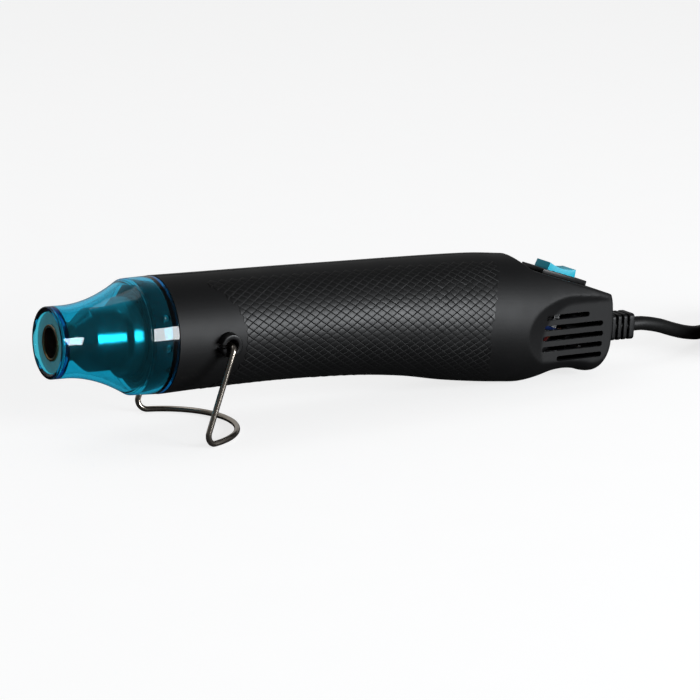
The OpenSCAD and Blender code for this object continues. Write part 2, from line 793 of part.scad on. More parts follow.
module motor_can() {
    color([0.72, 0.72, 0.74])
        rest()
            difference() {
                union() {
                    disc(motor_x, motor_end, motor_r);
                    disc(cup_x, motor_x + 1, boss_r);
                }
                disc(motor_x + can_wall, motor_end + 1, motor_r - can_wall);
                disc(cup_x - 1, motor_x + 1, bearing_r + run_gap / 4);
                for (z = [-motor_screw_z, motor_screw_z])
                    translate([0, 0, z])
                        disc(motor_x - 1, motor_x + 1, 1 + run_gap / 4);
            }
}

module motor_end_cap() {
    color([0.93, 0.93, 0.9])
        rest()
            difference() {
                union() {
                    disc(cap_x, motor_end, motor_r - can_wall - run_gap);
                    disc(motor_end, motor_end + 2.4, motor_r - 2);
                }
                disc(cap_x - 1, motor_end + 3, bearing_r + run_gap / 4);
                for (y = [-1, 1])
                    block(cap_x - 1, motor_end + 3, y * 7 - 0.3, y * 7 + 0.3, -1.1, 1.1);
            }
}

module motor_bearings() {
    color([0.72, 0.55, 0.3])
        rest() {
            ring(cup_x, motor_x + can_wall, shaft_r + run_gap, bearing_r);
            ring(cap_x, motor_end + 1.8, shaft_r + run_gap, bearing_r);
        }
}

module motor_magnets() {
    color([0.25, 0.25, 0.27])
        rest()
            for (turn = [35, 215])
                rotate([turn, 0, 0])
                    turned([[armature_r + 0.5, motor_x + 2.5], [magnet_r, motor_x + 2.5],
                        [magnet_r, cap_x - 1.6], [armature_r + 0.5, cap_x - 1.6]], 110);
}

module armature_core(grow) {
    disc(motor_x, motor_end, 3 + grow);
    for (k = [0:2])
        rotate([120 * k, 0, 0])
            block(motor_x, motor_end, -1.5 - grow, 1.5 + grow, 0, armature_r - 1);
}

module motor_armature() {
    color([0.5, 0.5, 0.52])
        rest()
            difference() {
                intersection() {
                    union() {
                        armature_core(0);
                        difference() {
                            ring(motor_x, motor_end, armature_r - 1.4, armature_r);
                            for (k = [0:2])
                                rotate([120 * k + 60, 0, 0])
                                    block(motor_x - 1, motor_end + 1, -0.9, 0.9, 0,
                                        armature_r + 1);
                        }
                    }
                    disc(motor_x + 3.5, cap_x - 2.8, armature_r + 1);
                }
                disc(motor_x - 1, motor_end + 1, shaft_r + run_gap / 4);
            }
}

module armature_windings() {
    color([0.7, 0.35, 0.15])
        rest()
            difference() {
                ring(motor_x + 4, cap_x - 3.3, 3 + seat_gap, armature_r - 1.4 - seat_gap);
                armature_core(seat_gap);
            }
}

module commutator() {
    color([0.75, 0.45, 0.2])
        rest()
            ring(cap_x - 2.4, cap_x - 0.6, shaft_r + run_gap / 4, commutator_r);
}

module brushes() {
    color([0.8, 0.66, 0.35])
        rest()
            for (side = [-1, 1])
                block(cap_x - 2.2, cap_x, side * (commutator_r + pass_gap + 0.25) - 0.25,
                    side * (commutator_r + pass_gap + 0.25) + 0.25, -3.4, 3.4);
}

module motor_shaft() {
    color([0.8, 0.8, 0.82])
        rest()
            disc(shaft_front, motor_end + 2.2, shaft_r);
}

module motor_terminals() {
    color([0.82, 0.68, 0.36])
        rest()
            for (side = [-1, 1])
                block(motor_end + 0.2, board_back + 1.6, side * 7 - 0.25, side * 7 + 0.25, -1, 1);
}

module rectifier_board() {
    color([0.1, 0.4, 0.2])
        rest()
            difference() {
                disc(board_x, board_back, 9);
                for (side = [-1, 1])
                    block(board_x - 1, board_back + 1, side * 7 - 0.3, side * 7 + 0.3, -1.1, 1.1);
            }
}

module diodes() {
    r = 1.25;
    x = board_back + seat_gap + r;
    color([0.12, 0.12, 0.12])
        rest()
            for (y = [-4.5, -1.5, 1.5, 4.5])
                translate([x, y, 0]) {
                    cylinder(h = 4.4, r = r);
                    translate([0, 0, -1.2])
                        cylinder(h = 6.8, r = 0.3);
                    for (z = [-1.2, 5.6])
                        translate([0.3, 0, z])
                            rotate([0, -90, 0])
                                cylinder(h = r + seat_gap + 0.3, r = 0.3);
                }
}

module smoothing_capacitor() {
    color([0.1, 0.15, 0.35])
        rest()
            translate([0, 0.6, -5.3])
                disc(board_back, board_back + 8, 2.5);
}

module switch_housing() {
    color([0.09, 0.09, 0.1])
        rest()
            at_switch()
                difference() {
                    union() {
                        block(-bezel_l / 2, bezel_l / 2, -bezel_w / 2, bezel_w / 2, 0, bezel_h);
                        block(-switch_l / 2, switch_l / 2, -switch_w / 2, switch_w / 2,
                            -switch_depth, 0.5);
                    }
                    block(-well_l / 2, well_l / 2, -well_w / 2, well_w / 2,
                        floor_h - switch_depth, bezel_h + 1);
                    cross_pin(0, 0, -switch_w / 2 + 0.3, switch_w / 2 - 0.3,
                        trunnion_r + run_gap);
                    for (k = [-1:1])
                        block(k * blade_gap - blade_t / 2 - run_gap,
                            k * blade_gap + blade_t / 2 + run_gap,
                            -blade_w / 2 - run_gap, blade_w / 2 + run_gap,
                            -switch_depth - 1, floor_h + 1 - switch_depth);
                }
}

// Side outline of the rocker: a round belly about its pivot, drafted ends, a dished top
module rocker_outline() {
    top = bezel_h + rocker_rise;
    end_l = rocker_l / 2 - rocker_rise * tan(9);
    belly = [for (a = [160:8:200]) [rocker_swing_r * cos(a), rocker_swing_r * sin(a)]];
    belly_back = [for (a = [-20:8:20]) [rocker_swing_r * cos(a), rocker_swing_r * sin(a)]];
    dish = [for (k = [10:-1:-10]) [end_l * k / 10, top - 1.1 * (1 - pow(k / 10, 2))]];
    polygon(concat(belly, belly_back, [[rocker_l / 2, bezel_h + 0.2]], dish,
        [[-rocker_l / 2, bezel_h + 0.2]]));
}

module rocker() {
    color([0.22, 0.75, 0.85])
        rest()
            at_switch()
                difference() {
                    union() {
                        translate([0, rocker_w / 2, 0])
                            rotate([90, 0, 0])
                                linear_extrude(rocker_w)
                                    rocker_outline();
                        cross_pin(0, 0, -switch_w / 2 + 0.6, switch_w / 2 - 0.6, trunnion_r);
                    }
                    translate([0, 0, -10])
                        cylinder(h = 11.6, r = plunger_r + run_gap);
                }
}

module rocker_plunger() {
    color([0.85, 0.85, 0.8])
        rest()
            at_switch() {
                translate([0, 0, plunger_r - plunger_reach])
                    cylinder(h = plunger_reach - plunger_r - 1.2, r = plunger_r);
                translate([0, 0, plunger_r - plunger_reach])
                    sphere(plunger_r);
            }
}

module plunger_spring() {
    turns = 3;
    steps = turns * 10;
    low = -1.2 + 0.25;
    high = 1.6 - 0.25;
    color([0.75, 0.75, 0.78])
        rest()
            at_switch()
                tube([for (k = [0:steps])
                    [0.95 * cos(360 * turns * k / steps), 0.95 * sin(360 * turns * k / steps),
                        low + (high - low) * k / steps]], 0.2, 6);
}

module contact_lever() {
    half_l = 5.9;
    rise = 1;
    color([0.78, 0.5, 0.25])
        rest()
            at_switch()
                translate([0, 2, 0])
                    rotate([90, 0, 0])
                        linear_extrude(4) {
                            polygon([[-half_l, lever_z + rise], [0, lever_z],
                                [half_l, lever_z + rise], [half_l, lever_z + rise + lever_t],
                                [0, lever_z + lever_t], [-half_l, lever_z + rise + lever_t]]);
                            translate([0, lever_z])
                                circle(r = lever_hub);
                        }
}

module switch_terminals() {
    color([0.8, 0.67, 0.35])
        rest()
            at_switch()
                for (k = [-1:1])
                    block(k * blade_gap - blade_t / 2, k * blade_gap + blade_t / 2,
                        -blade_w / 2, blade_w / 2, -switch_depth - blade_out,
                        lever_z - pass_gap - (k == 0 ? lever_hub : 0.2));
}

module spade_connectors() {
    color([0.75, 0.75, 0.72])
        rest()
            at_switch()
                for (k = [-1:1])
                    difference() {
                        block(k * blade_gap - 1.2, k * blade_gap + 1.2, -3.1, 3.1, spade_end,
                            spade_z);
                        block(k * blade_gap - blade_t / 2 - run_gap,
                            k * blade_gap + blade_t / 2 + run_gap, -blade_w / 2 - run_gap,
                            blade_w / 2 + run_gap, -switch_depth - blade_out - 0.2,
                            spade_z + 1);
                    }
}

// A lead inside the grip, through points chosen by hand
module lead(points) {
    rest()
        tube(route(points, 3), lead_r, 6);
}

// The two points where a lead leaves spade connector k
function spade_exit(k) = [at_pad(k * blade_gap, spade_end), at_pad(k * blade_gap, spade_end - 3)];
function tab_exit(z) = [[tab_end + 4, -1.6, z], [tab_end, -card_t / 2 - 0.3, z]];

module live_lead() {
    color([0.45, 0.25, 0.1])
        lead([[jacket_x, 1.3, relief_z], [jacket_x - 1, 1.3, relief_z],
            [jacket_x - 4.6, 2.6, relief_z - 2.4],
            [jacket_x - 9, 3.2, relief_z - 5], [jacket_x - 14, 2.8, relief_z - 6.4],
            [pad_x - 8.6, 1.2, relief_z - 4.8], spade_exit(0)[1], spade_exit(0)[0]]);
}

module neutral_lead() {
    color([0.1, 0.35, 0.75])
        lead([[jacket_x, -1.3, relief_z], [jacket_x - 1, -1.3, relief_z],
            [jacket_x - 4.4, -3.8, relief_z + 0.4],
            [jacket_x - 9, -7, relief_z + 2], [jacket_x - 21, -9.3, relief_z + 6],
            [head_x - 8, -10, -4], [head_x - 34, -9, -4], [board_back + 22, -7, -4],
            [board_back + 6, -5.6, -5], [board_back, -5.6, -5]]);
}

module full_heat_lead() {
    color([0.7, 0.1, 0.1])
        lead(concat(spade_exit(1), [[pad_x - 6, -2.6, relief_z - 6],
            [head_x + 1, -6, relief_z - 5.5], [head_x - 14, -11, -8], [head_x - 34, -14, 0],
            [board_back + 24, -14.5, 0], [board_back + 4, -15.4, 0],
            [duct_end + 4, side_y + 0.1, 0], [duct_end - 14, side_y, 0],
            [duct_x + 1, side_y, 0], [duct_x - 5, -12, 0]], tab_exit(tab_zs[1])));
}

module low_heat_lead() {
    color([0.85, 0.85, 0.85])
        lead(concat(spade_exit(-1), [[head_x - 3, 3, relief_z - 2.5],
            [head_x - 19, 6, relief_z + 3.5], [head_x - 44, 5, 0], [board_back + 16, 3.5, 5],
            [board_back + 5, 2, 7.4], [board_back, 2, 7.4]]));
}

// A lead from the board, round its edge and past the fan duct to a heater tab
function duct_way(z) = concat([[board_back, -7.2, 0.68 * z], [board_back + 4, -7.6, 0.68 * z],
    [board_back + 5.8, -11, 0.66 * z], [board_back + 2, -15.4, 0.6 * z],
    [duct_end + 6, side_y + 0.2, 0.52 * z], [duct_end - 4, side_y, 0.48 * z],
    [duct_x + 5, side_y, 0.48 * z], [duct_x - 1, side_y + 0.8, 0.52 * z],
    [duct_x - 6, -10, 0.8 * z]], tab_exit(z));

module heater_return_lead() {
    color([0.1, 0.1, 0.1])
        lead(duct_way(tab_zs[0]));
}

module heater_tap_lead() {
    color([0.9, 0.75, 0.15])
        lead(duct_way(tab_zs[2]));
}

module cord_clamp() {
    x1 = clamp_x + clamp_w;
    color([0.16, 0.16, 0.17])
        rest()
            difference() {
                block(clamp_x, x1, seat_gap, cord_r + 2, relief_z - clamp_half,
                    relief_z + clamp_half);
                translate([0, 0, relief_z])
                    disc(clamp_x - 1, x1 + 1, cord_r + run_gap);
                for (dz = [-clamp_screw_z, clamp_screw_z])
                    cross_pin((clamp_x + x1) / 2, relief_z + dz, -1, cord_r + 3, 1.1);
            }
}

module clamp_screws() {
    color([0.6, 0.6, 0.62])
        rest()
            for (dz = [-clamp_screw_z, clamp_screw_z]) {
                cross_pin(clamp_x + clamp_w / 2, relief_z + dz, -6.5, cord_r + 2.5, 0.95);
                cross_pin(clamp_x + clamp_w / 2, relief_z + dz, cord_r + 2, cord_r + 3.3, 1.9);
            }
}

// Outline with round corners about the relief's axis, for a rib hy wide and hz high each way
function rib_outline(hy, hz, r) = [for (q = [0:3], k = [0:4]) let (a = 90 * q + 22.5 * k)
    [(q == 0 || q == 3 ? hy - r : r - hy) + r * cos(a), (q < 2 ? hz - r : r - hz) + r * sin(a)]];

module relief_rib(x0, x1) {
    translate([x0, 0, 0])
        rotate([90, 0, 90])
            linear_extrude(x1 - x0)
                polygon(rib_outline(relief_r - 0.6, relief_r, 1.6));
}

module strain_relief() {
    last_rib = 2.6;
    first_x = rear_x + 1.4;
    last_x = relief_end - 1;
    pitch = (last_x - last_rib - first_x) / relief_ribs;
    color([0.1, 0.1, 0.11])
        rest()
            translate([0, 0, relief_z])
                difference() {
                    union() {
                        disc(rear_x - shell_wall - 1.9, rear_x - shell_wall - seat_gap,
                            relief_r + 0.9);
                        disc(rear_x - shell_wall - 1, rear_x + 0.5, relief_r - 1);
                        disc(rear_x, relief_end, relief_r - 1.4);
                        for (k = [0:relief_ribs - 1])
                            relief_rib(first_x + k * pitch, first_x + (k + 0.66) * pitch);
                        relief_rib(last_x - last_rib, last_x);
                    }
                    disc(rear_x - 9, relief_end + 1, cord_r + run_gap / 4);
                }
}

module cord_jacket() {
    color([0.08, 0.08, 0.08])
        rest()
            translate([0, 0, relief_z])
                disc(jacket_x, relief_end, cord_r);
}

module stand_wire() {
    elbow_y = pivot_w.y + elbow_t;
    loop_steps = 24;
    start = [pivot_w.x, -pin_end_y, pivot_w.z];
    loop = foot_w + foot_t * [sin(loop_open), cos(loop_open), 0];
    side = concat([[pivot_w.x, elbow_y + 0.5, pivot_w.z]],
        bend(start, pivot_w, foot_w, elbow_t, 6), bend(pivot_w, foot_w, loop, foot_t, 8));
    arc = [for (k = [1:loop_steps - 1]) let (a = loop_open * (2 * k / loop_steps - 1))
        [loop_x + loop_r * cos(a), loop_r * sin(a), wire_r]];
    other = [for (k = [len(side) - 1:-1:0]) [side[k].x, -side[k].y, side[k].z]];
    color([0.72, 0.68, 0.62]) {
        cross_pin(pivot_w.x, pivot_w.z, elbow_y, -pin_end_y, wire_r);
        cross_pin(pivot_w.x, pivot_w.z, pin_end_y, -elbow_y, wire_r);
        tube(concat(side, arc, other), wire_r * 0.995, 16);
    }
}

// Bush of the stand's pivot, drawn for the -Y side
module pivot_bush() {
    translate([pivot.x, 0, pivot.z])
        difference() {
            union() {
                cross_pin(0, 0, -21.5, -pin_end_y + 0.3, bush_r);
                cross_pin(0, 0, bush_face_y, -21, bush_r + 0.4);
                cross_pin(0, 0, -18.7, -17.5, bush_r + 1.2);
            }
            cross_pin(0, 0, -30, -10, wire_r + run_gap);
            cross_pin(0, 0, -30, -18.8, 2 * wire_r + 0.3);
            block(-bush_r - 1, 0, -30, -19.4, -1, 1);
        }
}

module left_pivot_bush() {
    color([0.05, 0.05, 0.05])
        rest()
            pivot_bush();
}

module right_pivot_bush() {
    color([0.07, 0.07, 0.07])
        rest()
            mirror([0, 1, 0])
                pivot_bush();
}

module power_cord() {
    color([0.08, 0.08, 0.08])
        tube(route(cord_route, 2), cord_r, 10);
}

module cord_coil() {
    color([0.09, 0.09, 0.09])
        tube(coil_points, cord_r, 6);
}

module plug_lead() {
    color([0.08, 0.08, 0.08])
        tube(route(plug_route, 2), cord_r, 10);
}

// Band round the coil's bundle; its opening follows the strands at its angle
module cord_tie() {
    turns_in = (coil_from + 360 - tie_angle) / 360;
    edges = [for (k = [0:layers_turns - 1]) let (u = turns_in + k)
        if (u < layers_turns) coil_out - turn_step * (layers_turns / 2 - abs(u - layers_turns / 2))];
    inner = min(edges) - cord_r;
    drift = turn_step * tie_w / (4 * PI * inner);
    r0 = sqrt(inner * inner - tie_w * tie_w / 4) - drift - seat_gap;
    r1 = max(edges) + cord_r + drift + seat_gap;
    top = coil_z + turn_step + cord_r + seat_gap;
    low = coil_z - cord_r - seat_gap;
    color([0.2, 0.2, 0.2])
        translate([coil_c.x, coil_c.y, 0])
            rotate([0, 0, tie_angle])
                difference() {
                    block(r0 - tie_t, r1 + tie_t, -tie_w / 2, tie_w / 2, low - tie_t, top + tie_t);
                    block(r0, r1, -tie_w, tie_w, low, top);
                }
}

module plug_body() {
    color([0.1, 0.1, 0.1])
        translate(plug_at) {
            rotate([0, -90, 0])
                cylinder(h = plug_sleeve + 1, r = cord_r + 1.2);
            translate([0, 0, -plug_h / 2])
                linear_extrude(plug_h)
                    polygon([[-plug_sleeve, -6], [-plug_sleeve, 6],
                        [-plug_sleeve - 15, plug_w / 2 - 1],
                        [-plug_sleeve - 17, plug_w / 2],
                        [-plug_sleeve - plug_len, plug_w / 2],
                        [-plug_sleeve - plug_len, -plug_w / 2],
                        [-plug_sleeve - 17, -plug_w / 2],
                        [-plug_sleeve - 15, 1 - plug_w / 2]]);
        }
}

module plug_pins() {
    color([0.8, 0.8, 0.82])
        for (side = [-1, 1])
            translate(plug_at + [-plug_sleeve - plug_len, side * plug_pin_gap / 2, 0])
                rotate([0, -90, 0])
                    cylinder(h = plug_pin_len, r = plug_pin_r);
}

left_shell();
right_shell();
shell_screws();
nozzle_guard();
heat_shield();
shield_holder();
mica_sleeve();
mica_washer();
upright_mica_card();
level_mica_card();
heating_coil();
thermal_fuse();
thermostat();
heater_terminals();
fan();
motor_mount();
motor_screws();
motor_can();
motor_end_cap();
motor_bearings();
motor_magnets();
motor_armature();
armature_windings();
commutator();
brushes();
motor_shaft();
motor_terminals();
rectifier_board();
diodes();
smoothing_capacitor();
switch_housing();
rocker();
rocker_plunger();
plunger_spring();
contact_lever();
switch_terminals();
spade_connectors();
live_lead();
neutral_lead();
full_heat_lead();
low_heat_lead();
heater_return_lead();
heater_tap_lead();
cord_clamp();
clamp_screws();
strain_relief();
cord_jacket();
stand_wire();
left_pivot_bush();
right_pivot_bush();
power_cord();
cord_coil();
cord_tie();
plug_lead();
plug_body();
plug_pins();
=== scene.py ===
"""Embossing heat tool: its finished pieces, materials, stage and camera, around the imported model.

Lengths in the piece tables are millimetres in the tool's own frame: X runs back along the axis
from the guard's rim, and the tool is then tipped nose up, as it stands on its wire and belly.
"""

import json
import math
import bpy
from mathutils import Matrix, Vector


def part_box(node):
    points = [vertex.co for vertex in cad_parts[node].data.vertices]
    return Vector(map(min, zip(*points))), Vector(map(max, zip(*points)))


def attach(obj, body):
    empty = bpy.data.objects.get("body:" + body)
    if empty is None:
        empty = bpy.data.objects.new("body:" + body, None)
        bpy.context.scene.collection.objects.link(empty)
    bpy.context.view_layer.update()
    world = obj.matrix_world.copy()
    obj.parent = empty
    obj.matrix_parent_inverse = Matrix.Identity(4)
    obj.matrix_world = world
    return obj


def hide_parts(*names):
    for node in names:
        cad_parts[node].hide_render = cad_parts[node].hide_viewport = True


bl_info = {
    "name": "Embossing heat tool",
    "version": (1, 0, 0),
    "blender": (4, 5, 0),
    "location": "View3D > Sidebar > Heat Tool",
    "description": "Builds the visible pieces of an embossing heat tool",
    "category": "Object",
}

import bpy
from bpy.props import FloatProperty, FloatVectorProperty, IntProperty, PointerProperty
from mathutils import Matrix, Vector

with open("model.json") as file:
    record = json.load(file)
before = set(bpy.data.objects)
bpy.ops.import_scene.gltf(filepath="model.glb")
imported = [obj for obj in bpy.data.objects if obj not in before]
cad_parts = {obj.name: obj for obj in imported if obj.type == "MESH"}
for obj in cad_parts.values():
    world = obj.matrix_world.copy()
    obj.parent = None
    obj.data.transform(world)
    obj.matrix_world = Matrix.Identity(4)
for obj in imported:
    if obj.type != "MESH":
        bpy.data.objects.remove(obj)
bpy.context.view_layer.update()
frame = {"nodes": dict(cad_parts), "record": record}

MM = 0.001
NOSE_UP = math.radians(2.7)
SET_DOWN = Vector((-0.128922, 0.0, 0.0393352))
REST = Matrix.Translation(SET_DOWN) @ Matrix.Rotation(NOSE_UP, 4, "Y")

# Places along the tool's axis
SEAM = 42.6
REAR = 240.0
HEAD = 204.0
PAD_X, PAD_Z, PAD_SLOPE = 219.6, 10.8, math.radians(16.9)
RELIEF_Z = -11.5
RELIEF_LEN = 19.0

# Stations of the grip: place, top line, underside, half width, squareness above and below
STATIONS = (
    (SEAM, 21.9, 21.9, 21.9, 2, 2),
    (SEAM + 22, 22.05, 21.05, 21.7, 2, 2),
    (SEAM + 52, 22.3, 20.6, 21.6, 2, 2),
    (HEAD - 79, 22.4, 21.4, 21.8, 2, 2),
    (HEAD - 56, 22.5, 23.5, 22.3, 2, 2),
    (HEAD - 38, 22.5, 26.5, 22.6, 2, 2),
    (HEAD - 22, 22.25, 28.5, 22.6, 2, 2),
    (HEAD - 10, 21.4, 29.6, 22.4, 2, 2),
    (HEAD - 3, 20.8, 29.9, 22.1, 2, 2.1),
    (HEAD + 3, 20.2, 28.7, 21.6, 2, 2.3),
    (HEAD + 9, 19.6, 26.2, 20.9, 2.05, 2.8),
    (HEAD + 15, 18.8, 25.1, 20.1, 2.1, 3.3),
    (HEAD + 21, 17.6, 25.5, 19.3, 2.2, 3.6),
    (REAR - 9, 15.8, 27.0, 18.4, 2.5, 3.6),
    (REAR - 5, 14.2, 26.6, 17.6, 2.6, 3.6),
    (REAR - 2, 11.6, 24.2, 16.6, 2.9, 3.4),
    (REAR - 0.6, 8.4, 21.7, 14.8, 3, 3.2),
    (REAR, 6.2, 19.8, 13.2, 3, 3),
)
TOP, LOW, WIDE, SQUARE_TOP, SQUARE_LOW = 1, 2, 3, 4, 5


# Tools for modelling

def only(piece):
    """Make piece the one selected and active object, in object mode."""
    if bpy.context.mode != "OBJECT":
        bpy.ops.object.mode_set(mode="OBJECT")
    bpy.ops.object.select_all(action="DESELECT")
    piece.select_set(True)
    bpy.context.view_layer.objects.active = piece


def edit(piece, everything=True):
    only(piece)
    bpy.ops.object.mode_set(mode="EDIT")
    bpy.ops.mesh.select_mode(type="FACE")
    bpy.ops.mesh.select_all(action="SELECT" if everything else "DESELECT")


def leave_edit():
    bpy.ops.object.mode_set(mode="OBJECT")


def started(name):
    """Name the primitive that was just added, and empty the selection of all else."""
    piece = bpy.context.object
    piece.name = name
    piece.data.name = name
    only(piece)
    bpy.ops.object.transform_apply(location=True, rotation=True, scale=True)
    return piece


def modifier(piece, kind, **values):
    only(piece)
    step = piece.modifiers.new(kind, kind)
    for key, value in values.items():
        setattr(step, key, value)
    bpy.ops.object.modifier_apply(modifier=step.name)


def bevel(piece, width, segments=3, angle=50):
    modifier(piece, "BEVEL", width=width * MM, segments=segments, limit_method="ANGLE",
             angle_limit=math.radians(angle))


def carve(piece, cutter, operation="DIFFERENCE"):
    modifier(piece, "BOOLEAN", operation=operation, solver="EXACT", object=cutter)
    bpy.data.objects.remove(cutter)


def joined(first, *others):
    only(first)
    for other in others:
        other.select_set(True)
    bpy.ops.object.join()
    return first


def clean(piece):
    """Merge doubles and turn every face outwards."""
    edit(piece)
    bpy.ops.mesh.remove_doubles(threshold=0.01 * MM)
    bpy.ops.mesh.delete_loose()
    bpy.ops.mesh.select_all(action="SELECT")
    bpy.ops.mesh.normals_make_consistent(inside=False)
    leave_edit()


def smooth(piece, angle=35):
    only(piece)
    bpy.ops.object.shade_smooth_by_angle(angle=math.radians(angle))


def select_faces(piece, test):
    """Select the faces whose centre and normal pass test, and enter edit mode."""
    edit(piece, everything=False)
    leave_edit()
    for face in piece.data.polygons:
        face.select = test(face.center, face.normal)
    bpy.ops.object.mode_set(mode="EDIT")


def select_edges(piece, test):
    """Select the edges whose two ends pass test, and enter edit mode."""
    edit(piece, everything=False)
    leave_edit()
    corners = piece.data.vertices
    for edge in piece.data.edges:
        edge.select = test(*(corners[v].co for v in edge.vertices))
    for face in piece.data.polygons:
        face.select = False
    bpy.ops.object.mode_set(mode="EDIT")
    bpy.ops.mesh.select_mode(type="EDGE")


def rounded(points, radius, steps=3):
    """Fillet the corners of a closed outline. A point's third value is its own radius."""
    result = []
    count = len(points)
    for k, point in enumerate(points):
        r = point[2] if len(point) > 2 else radius
        here = Vector(point[:2])
        before = Vector(points[k - 1][:2]) - here
        after = Vector(points[(k + 1) % count][:2]) - here
        if r <= 0:
            result.append(here)
            continue
        half = before.angle(after) / 2
        if half > math.radians(86):
            result.append(here)
            continue
        back = min(r / math.tan(half), 0.45 * before.length, 0.45 * after.length)
        a, c = here + before.normalized() * back, here + after.normalized() * back
        for step in range(steps + 1):
            t = step / steps
            result.append(a * (1 - t) ** 2 + here * 2 * t * (1 - t) + c * t * t)
    return result


def eased(a, b, slope_a, slope_b, width, t):
    """Point t of the way along a smooth curve from a to b, with the slopes it has there."""
    return (a * (1 + 2 * t) * (1 - t) ** 2 + b * t * t * (3 - 2 * t)
            + width * (slope_a * t * (1 - t) ** 2 - slope_b * t * t * (1 - t)))


def outline(name, points, place):
    """A flat ring of edges through points, each put in space by place."""
    bpy.ops.mesh.primitive_circle_add(vertices=len(points), radius=MM)
    ring = started(name)
    for corner, point in zip(ring.data.vertices, points):
        corner.co = place(*point)
    return ring


def turned(name, points, steps=96):
    """Turn a closed outline of (radius, place along X) about the tool's axis."""
    piece = outline(name, points, lambda r, x: (x * MM, 0.0, r * MM))
    edit(piece)
    bpy.ops.mesh.spin(steps=steps, angle=2 * math.pi, center=(0, 0, 0), axis=(1, 0, 0))
    leave_edit()
    clean(piece)
    return piece


def slab(name, points, y0, y1):
    """Push a closed outline of (x, z) through from y0 to y1."""
    piece = outline(name, points, lambda x, z: (x * MM, y0 * MM, z * MM))
    edit(piece)
    bpy.ops.mesh.select_mode(type="EDGE")
    bpy.ops.mesh.select_all(action="SELECT")
    bpy.ops.mesh.edge_face_add()
    bpy.ops.mesh.select_mode(type="FACE")
    bpy.ops.mesh.select_all(action="SELECT")
    bpy.ops.mesh.extrude_region_move(
        TRANSFORM_OT_translate={"value": (0, (y1 - y0) * MM, 0)})
    bpy.ops.mesh.select_all(action="SELECT")
    bpy.ops.mesh.normals_make_consistent(inside=False)
    leave_edit()
    return piece


def brick(name, low, high):
    size = [(b - a) * MM for a, b in zip(low, high)]
    bpy.ops.mesh.primitive_cube_add(
        size=1, location=[(a + b) / 2 * MM for a, b in zip(low, high)], scale=size)
    return started(name)


def peg(name, x, z, y0, y1, radius, vertices=48):
    """A round bar across the tool."""
    bpy.ops.mesh.primitive_cylinder_add(
        vertices=vertices, radius=radius * MM, depth=(y1 - y0) * MM,
        location=(x * MM, (y0 + y1) / 2 * MM, z * MM), rotation=(math.pi / 2, 0, 0))
    return started(name)


def mirrored(piece, name):
    """The same piece for the other flank, with its own mesh."""
    twin = piece.copy()
    twin.data = piece.data.copy()
    twin.name = name
    bpy.context.collection.objects.link(twin)
    twin.data.transform(Matrix.Scale(-1, 4, (0, 1, 0)))
    twin.data.flip_normals()
    return twin


def place_on(piece, body, material, slot, *nodes):
    """Give a finished piece its material, its body and the CAD nodes it stands for."""
    piece.data.materials.clear()
    piece.data.materials.append(bpy.data.materials[material])
    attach(piece, body)
    if nodes:
        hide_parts(*nodes)


def finished(piece, body, look, *nodes, turn=Matrix.Identity(4), angle=35, slot=None):
    """Move a piece from the tool's own frame into the room, smooth it and place it."""
    piece.data.transform(REST @ turn)
    smooth(piece, angle)
    place_on(piece, body, look, slot or look, *nodes)


AT_SWITCH = (Matrix.Translation((PAD_X * MM, 0, PAD_Z * MM))
             @ Matrix.Rotation(PAD_SLOPE, 4, "Y"))


# Form of the grip

def along_body(x, column):
    """Smooth curve through the stations, for one column at place x."""
    k = 0
    while k < len(STATIONS) - 2 and x > STATIONS[k + 1][0]:
        k += 1

    def rise(n):
        a, b = STATIONS[max(n - 1, 0)], STATIONS[min(n + 1, len(STATIONS) - 1)]
        return (b[column] - a[column]) / (b[0] - a[0])

    width = STATIONS[k + 1][0] - STATIONS[k][0]
    t = (x - STATIONS[k][0]) / width
    if t < 0:
        return STATIONS[0][column]
    if t > 1:
        return STATIONS[-1][column]
    return eased(STATIONS[k][column], STATIONS[k + 1][column], rise(k), rise(k + 1), width, t)


def on_flank(x, angle, inset=0.0):
    """Point of the -Y flank at place x and an angle from -90, the keel, to 90, the top."""
    top = along_body(x, TOP) - inset
    low = along_body(x, LOW) - inset
    power = 2 / along_body(x, SQUARE_TOP if angle > 0 else SQUARE_LOW)
    c = max(math.cos(math.radians(angle)), 0.0) ** power
    s = math.copysign(abs(math.sin(math.radians(angle))) ** power, angle)
    return Vector((x, -(along_body(x, WIDE) - inset) * c, (top - low) / 2 + (top + low) / 2 * s))


def grip_block(name, inset, over, x0, x1, steps_x, steps_round):
    """Closed half of the grip's form, from a grid whose rows run round the section."""
    bpy.ops.mesh.primitive_grid_add(
        x_subdivisions=steps_x, y_subdivisions=steps_round, size=1)
    block = started(name)
    flank_share = 0.7
    for corner in block.data.vertices:
        u, v = corner.co.x + 0.5, corner.co.y + 0.5
        x = x0 + (x1 - x0) * u
        if v <= flank_share + 1e-6:
            point = on_flank(x, 180 * min(v / flank_share, 1) - 90, inset)
            if v < 1e-6 or v > flank_share - 1e-6:
                point.y = 0.0
        else:
            back = (v - flank_share) / (1 - flank_share)
            keel, ridge = on_flank(x, -90, inset).z, on_flank(x, 90, inset).z
            side = min(back * 6, (1 - back) * 6, 1)
            point = Vector((x, over * side, ridge + (keel - ridge) * back))
            if back > 1 - 1e-6:
                point.y = 0.0
        corner.co = point * MM
    edit(block)
    bpy.ops.mesh.remove_doubles(threshold=0.02 * MM)
    bpy.ops.mesh.select_all(action="DESELECT")
    bpy.ops.mesh.select_mode(type="EDGE")
    bpy.ops.mesh.select_non_manifold()
    bpy.ops.mesh.fill_holes(sides=0)
    bpy.ops.mesh.select_all(action="SELECT")
    bpy.ops.mesh.normals_make_consistent(inside=False)
    leave_edit()
    return block


RAMP_AT = -18.8
RAMP_SLOPE = 0.5
PAD_EDGE_R = 3.0


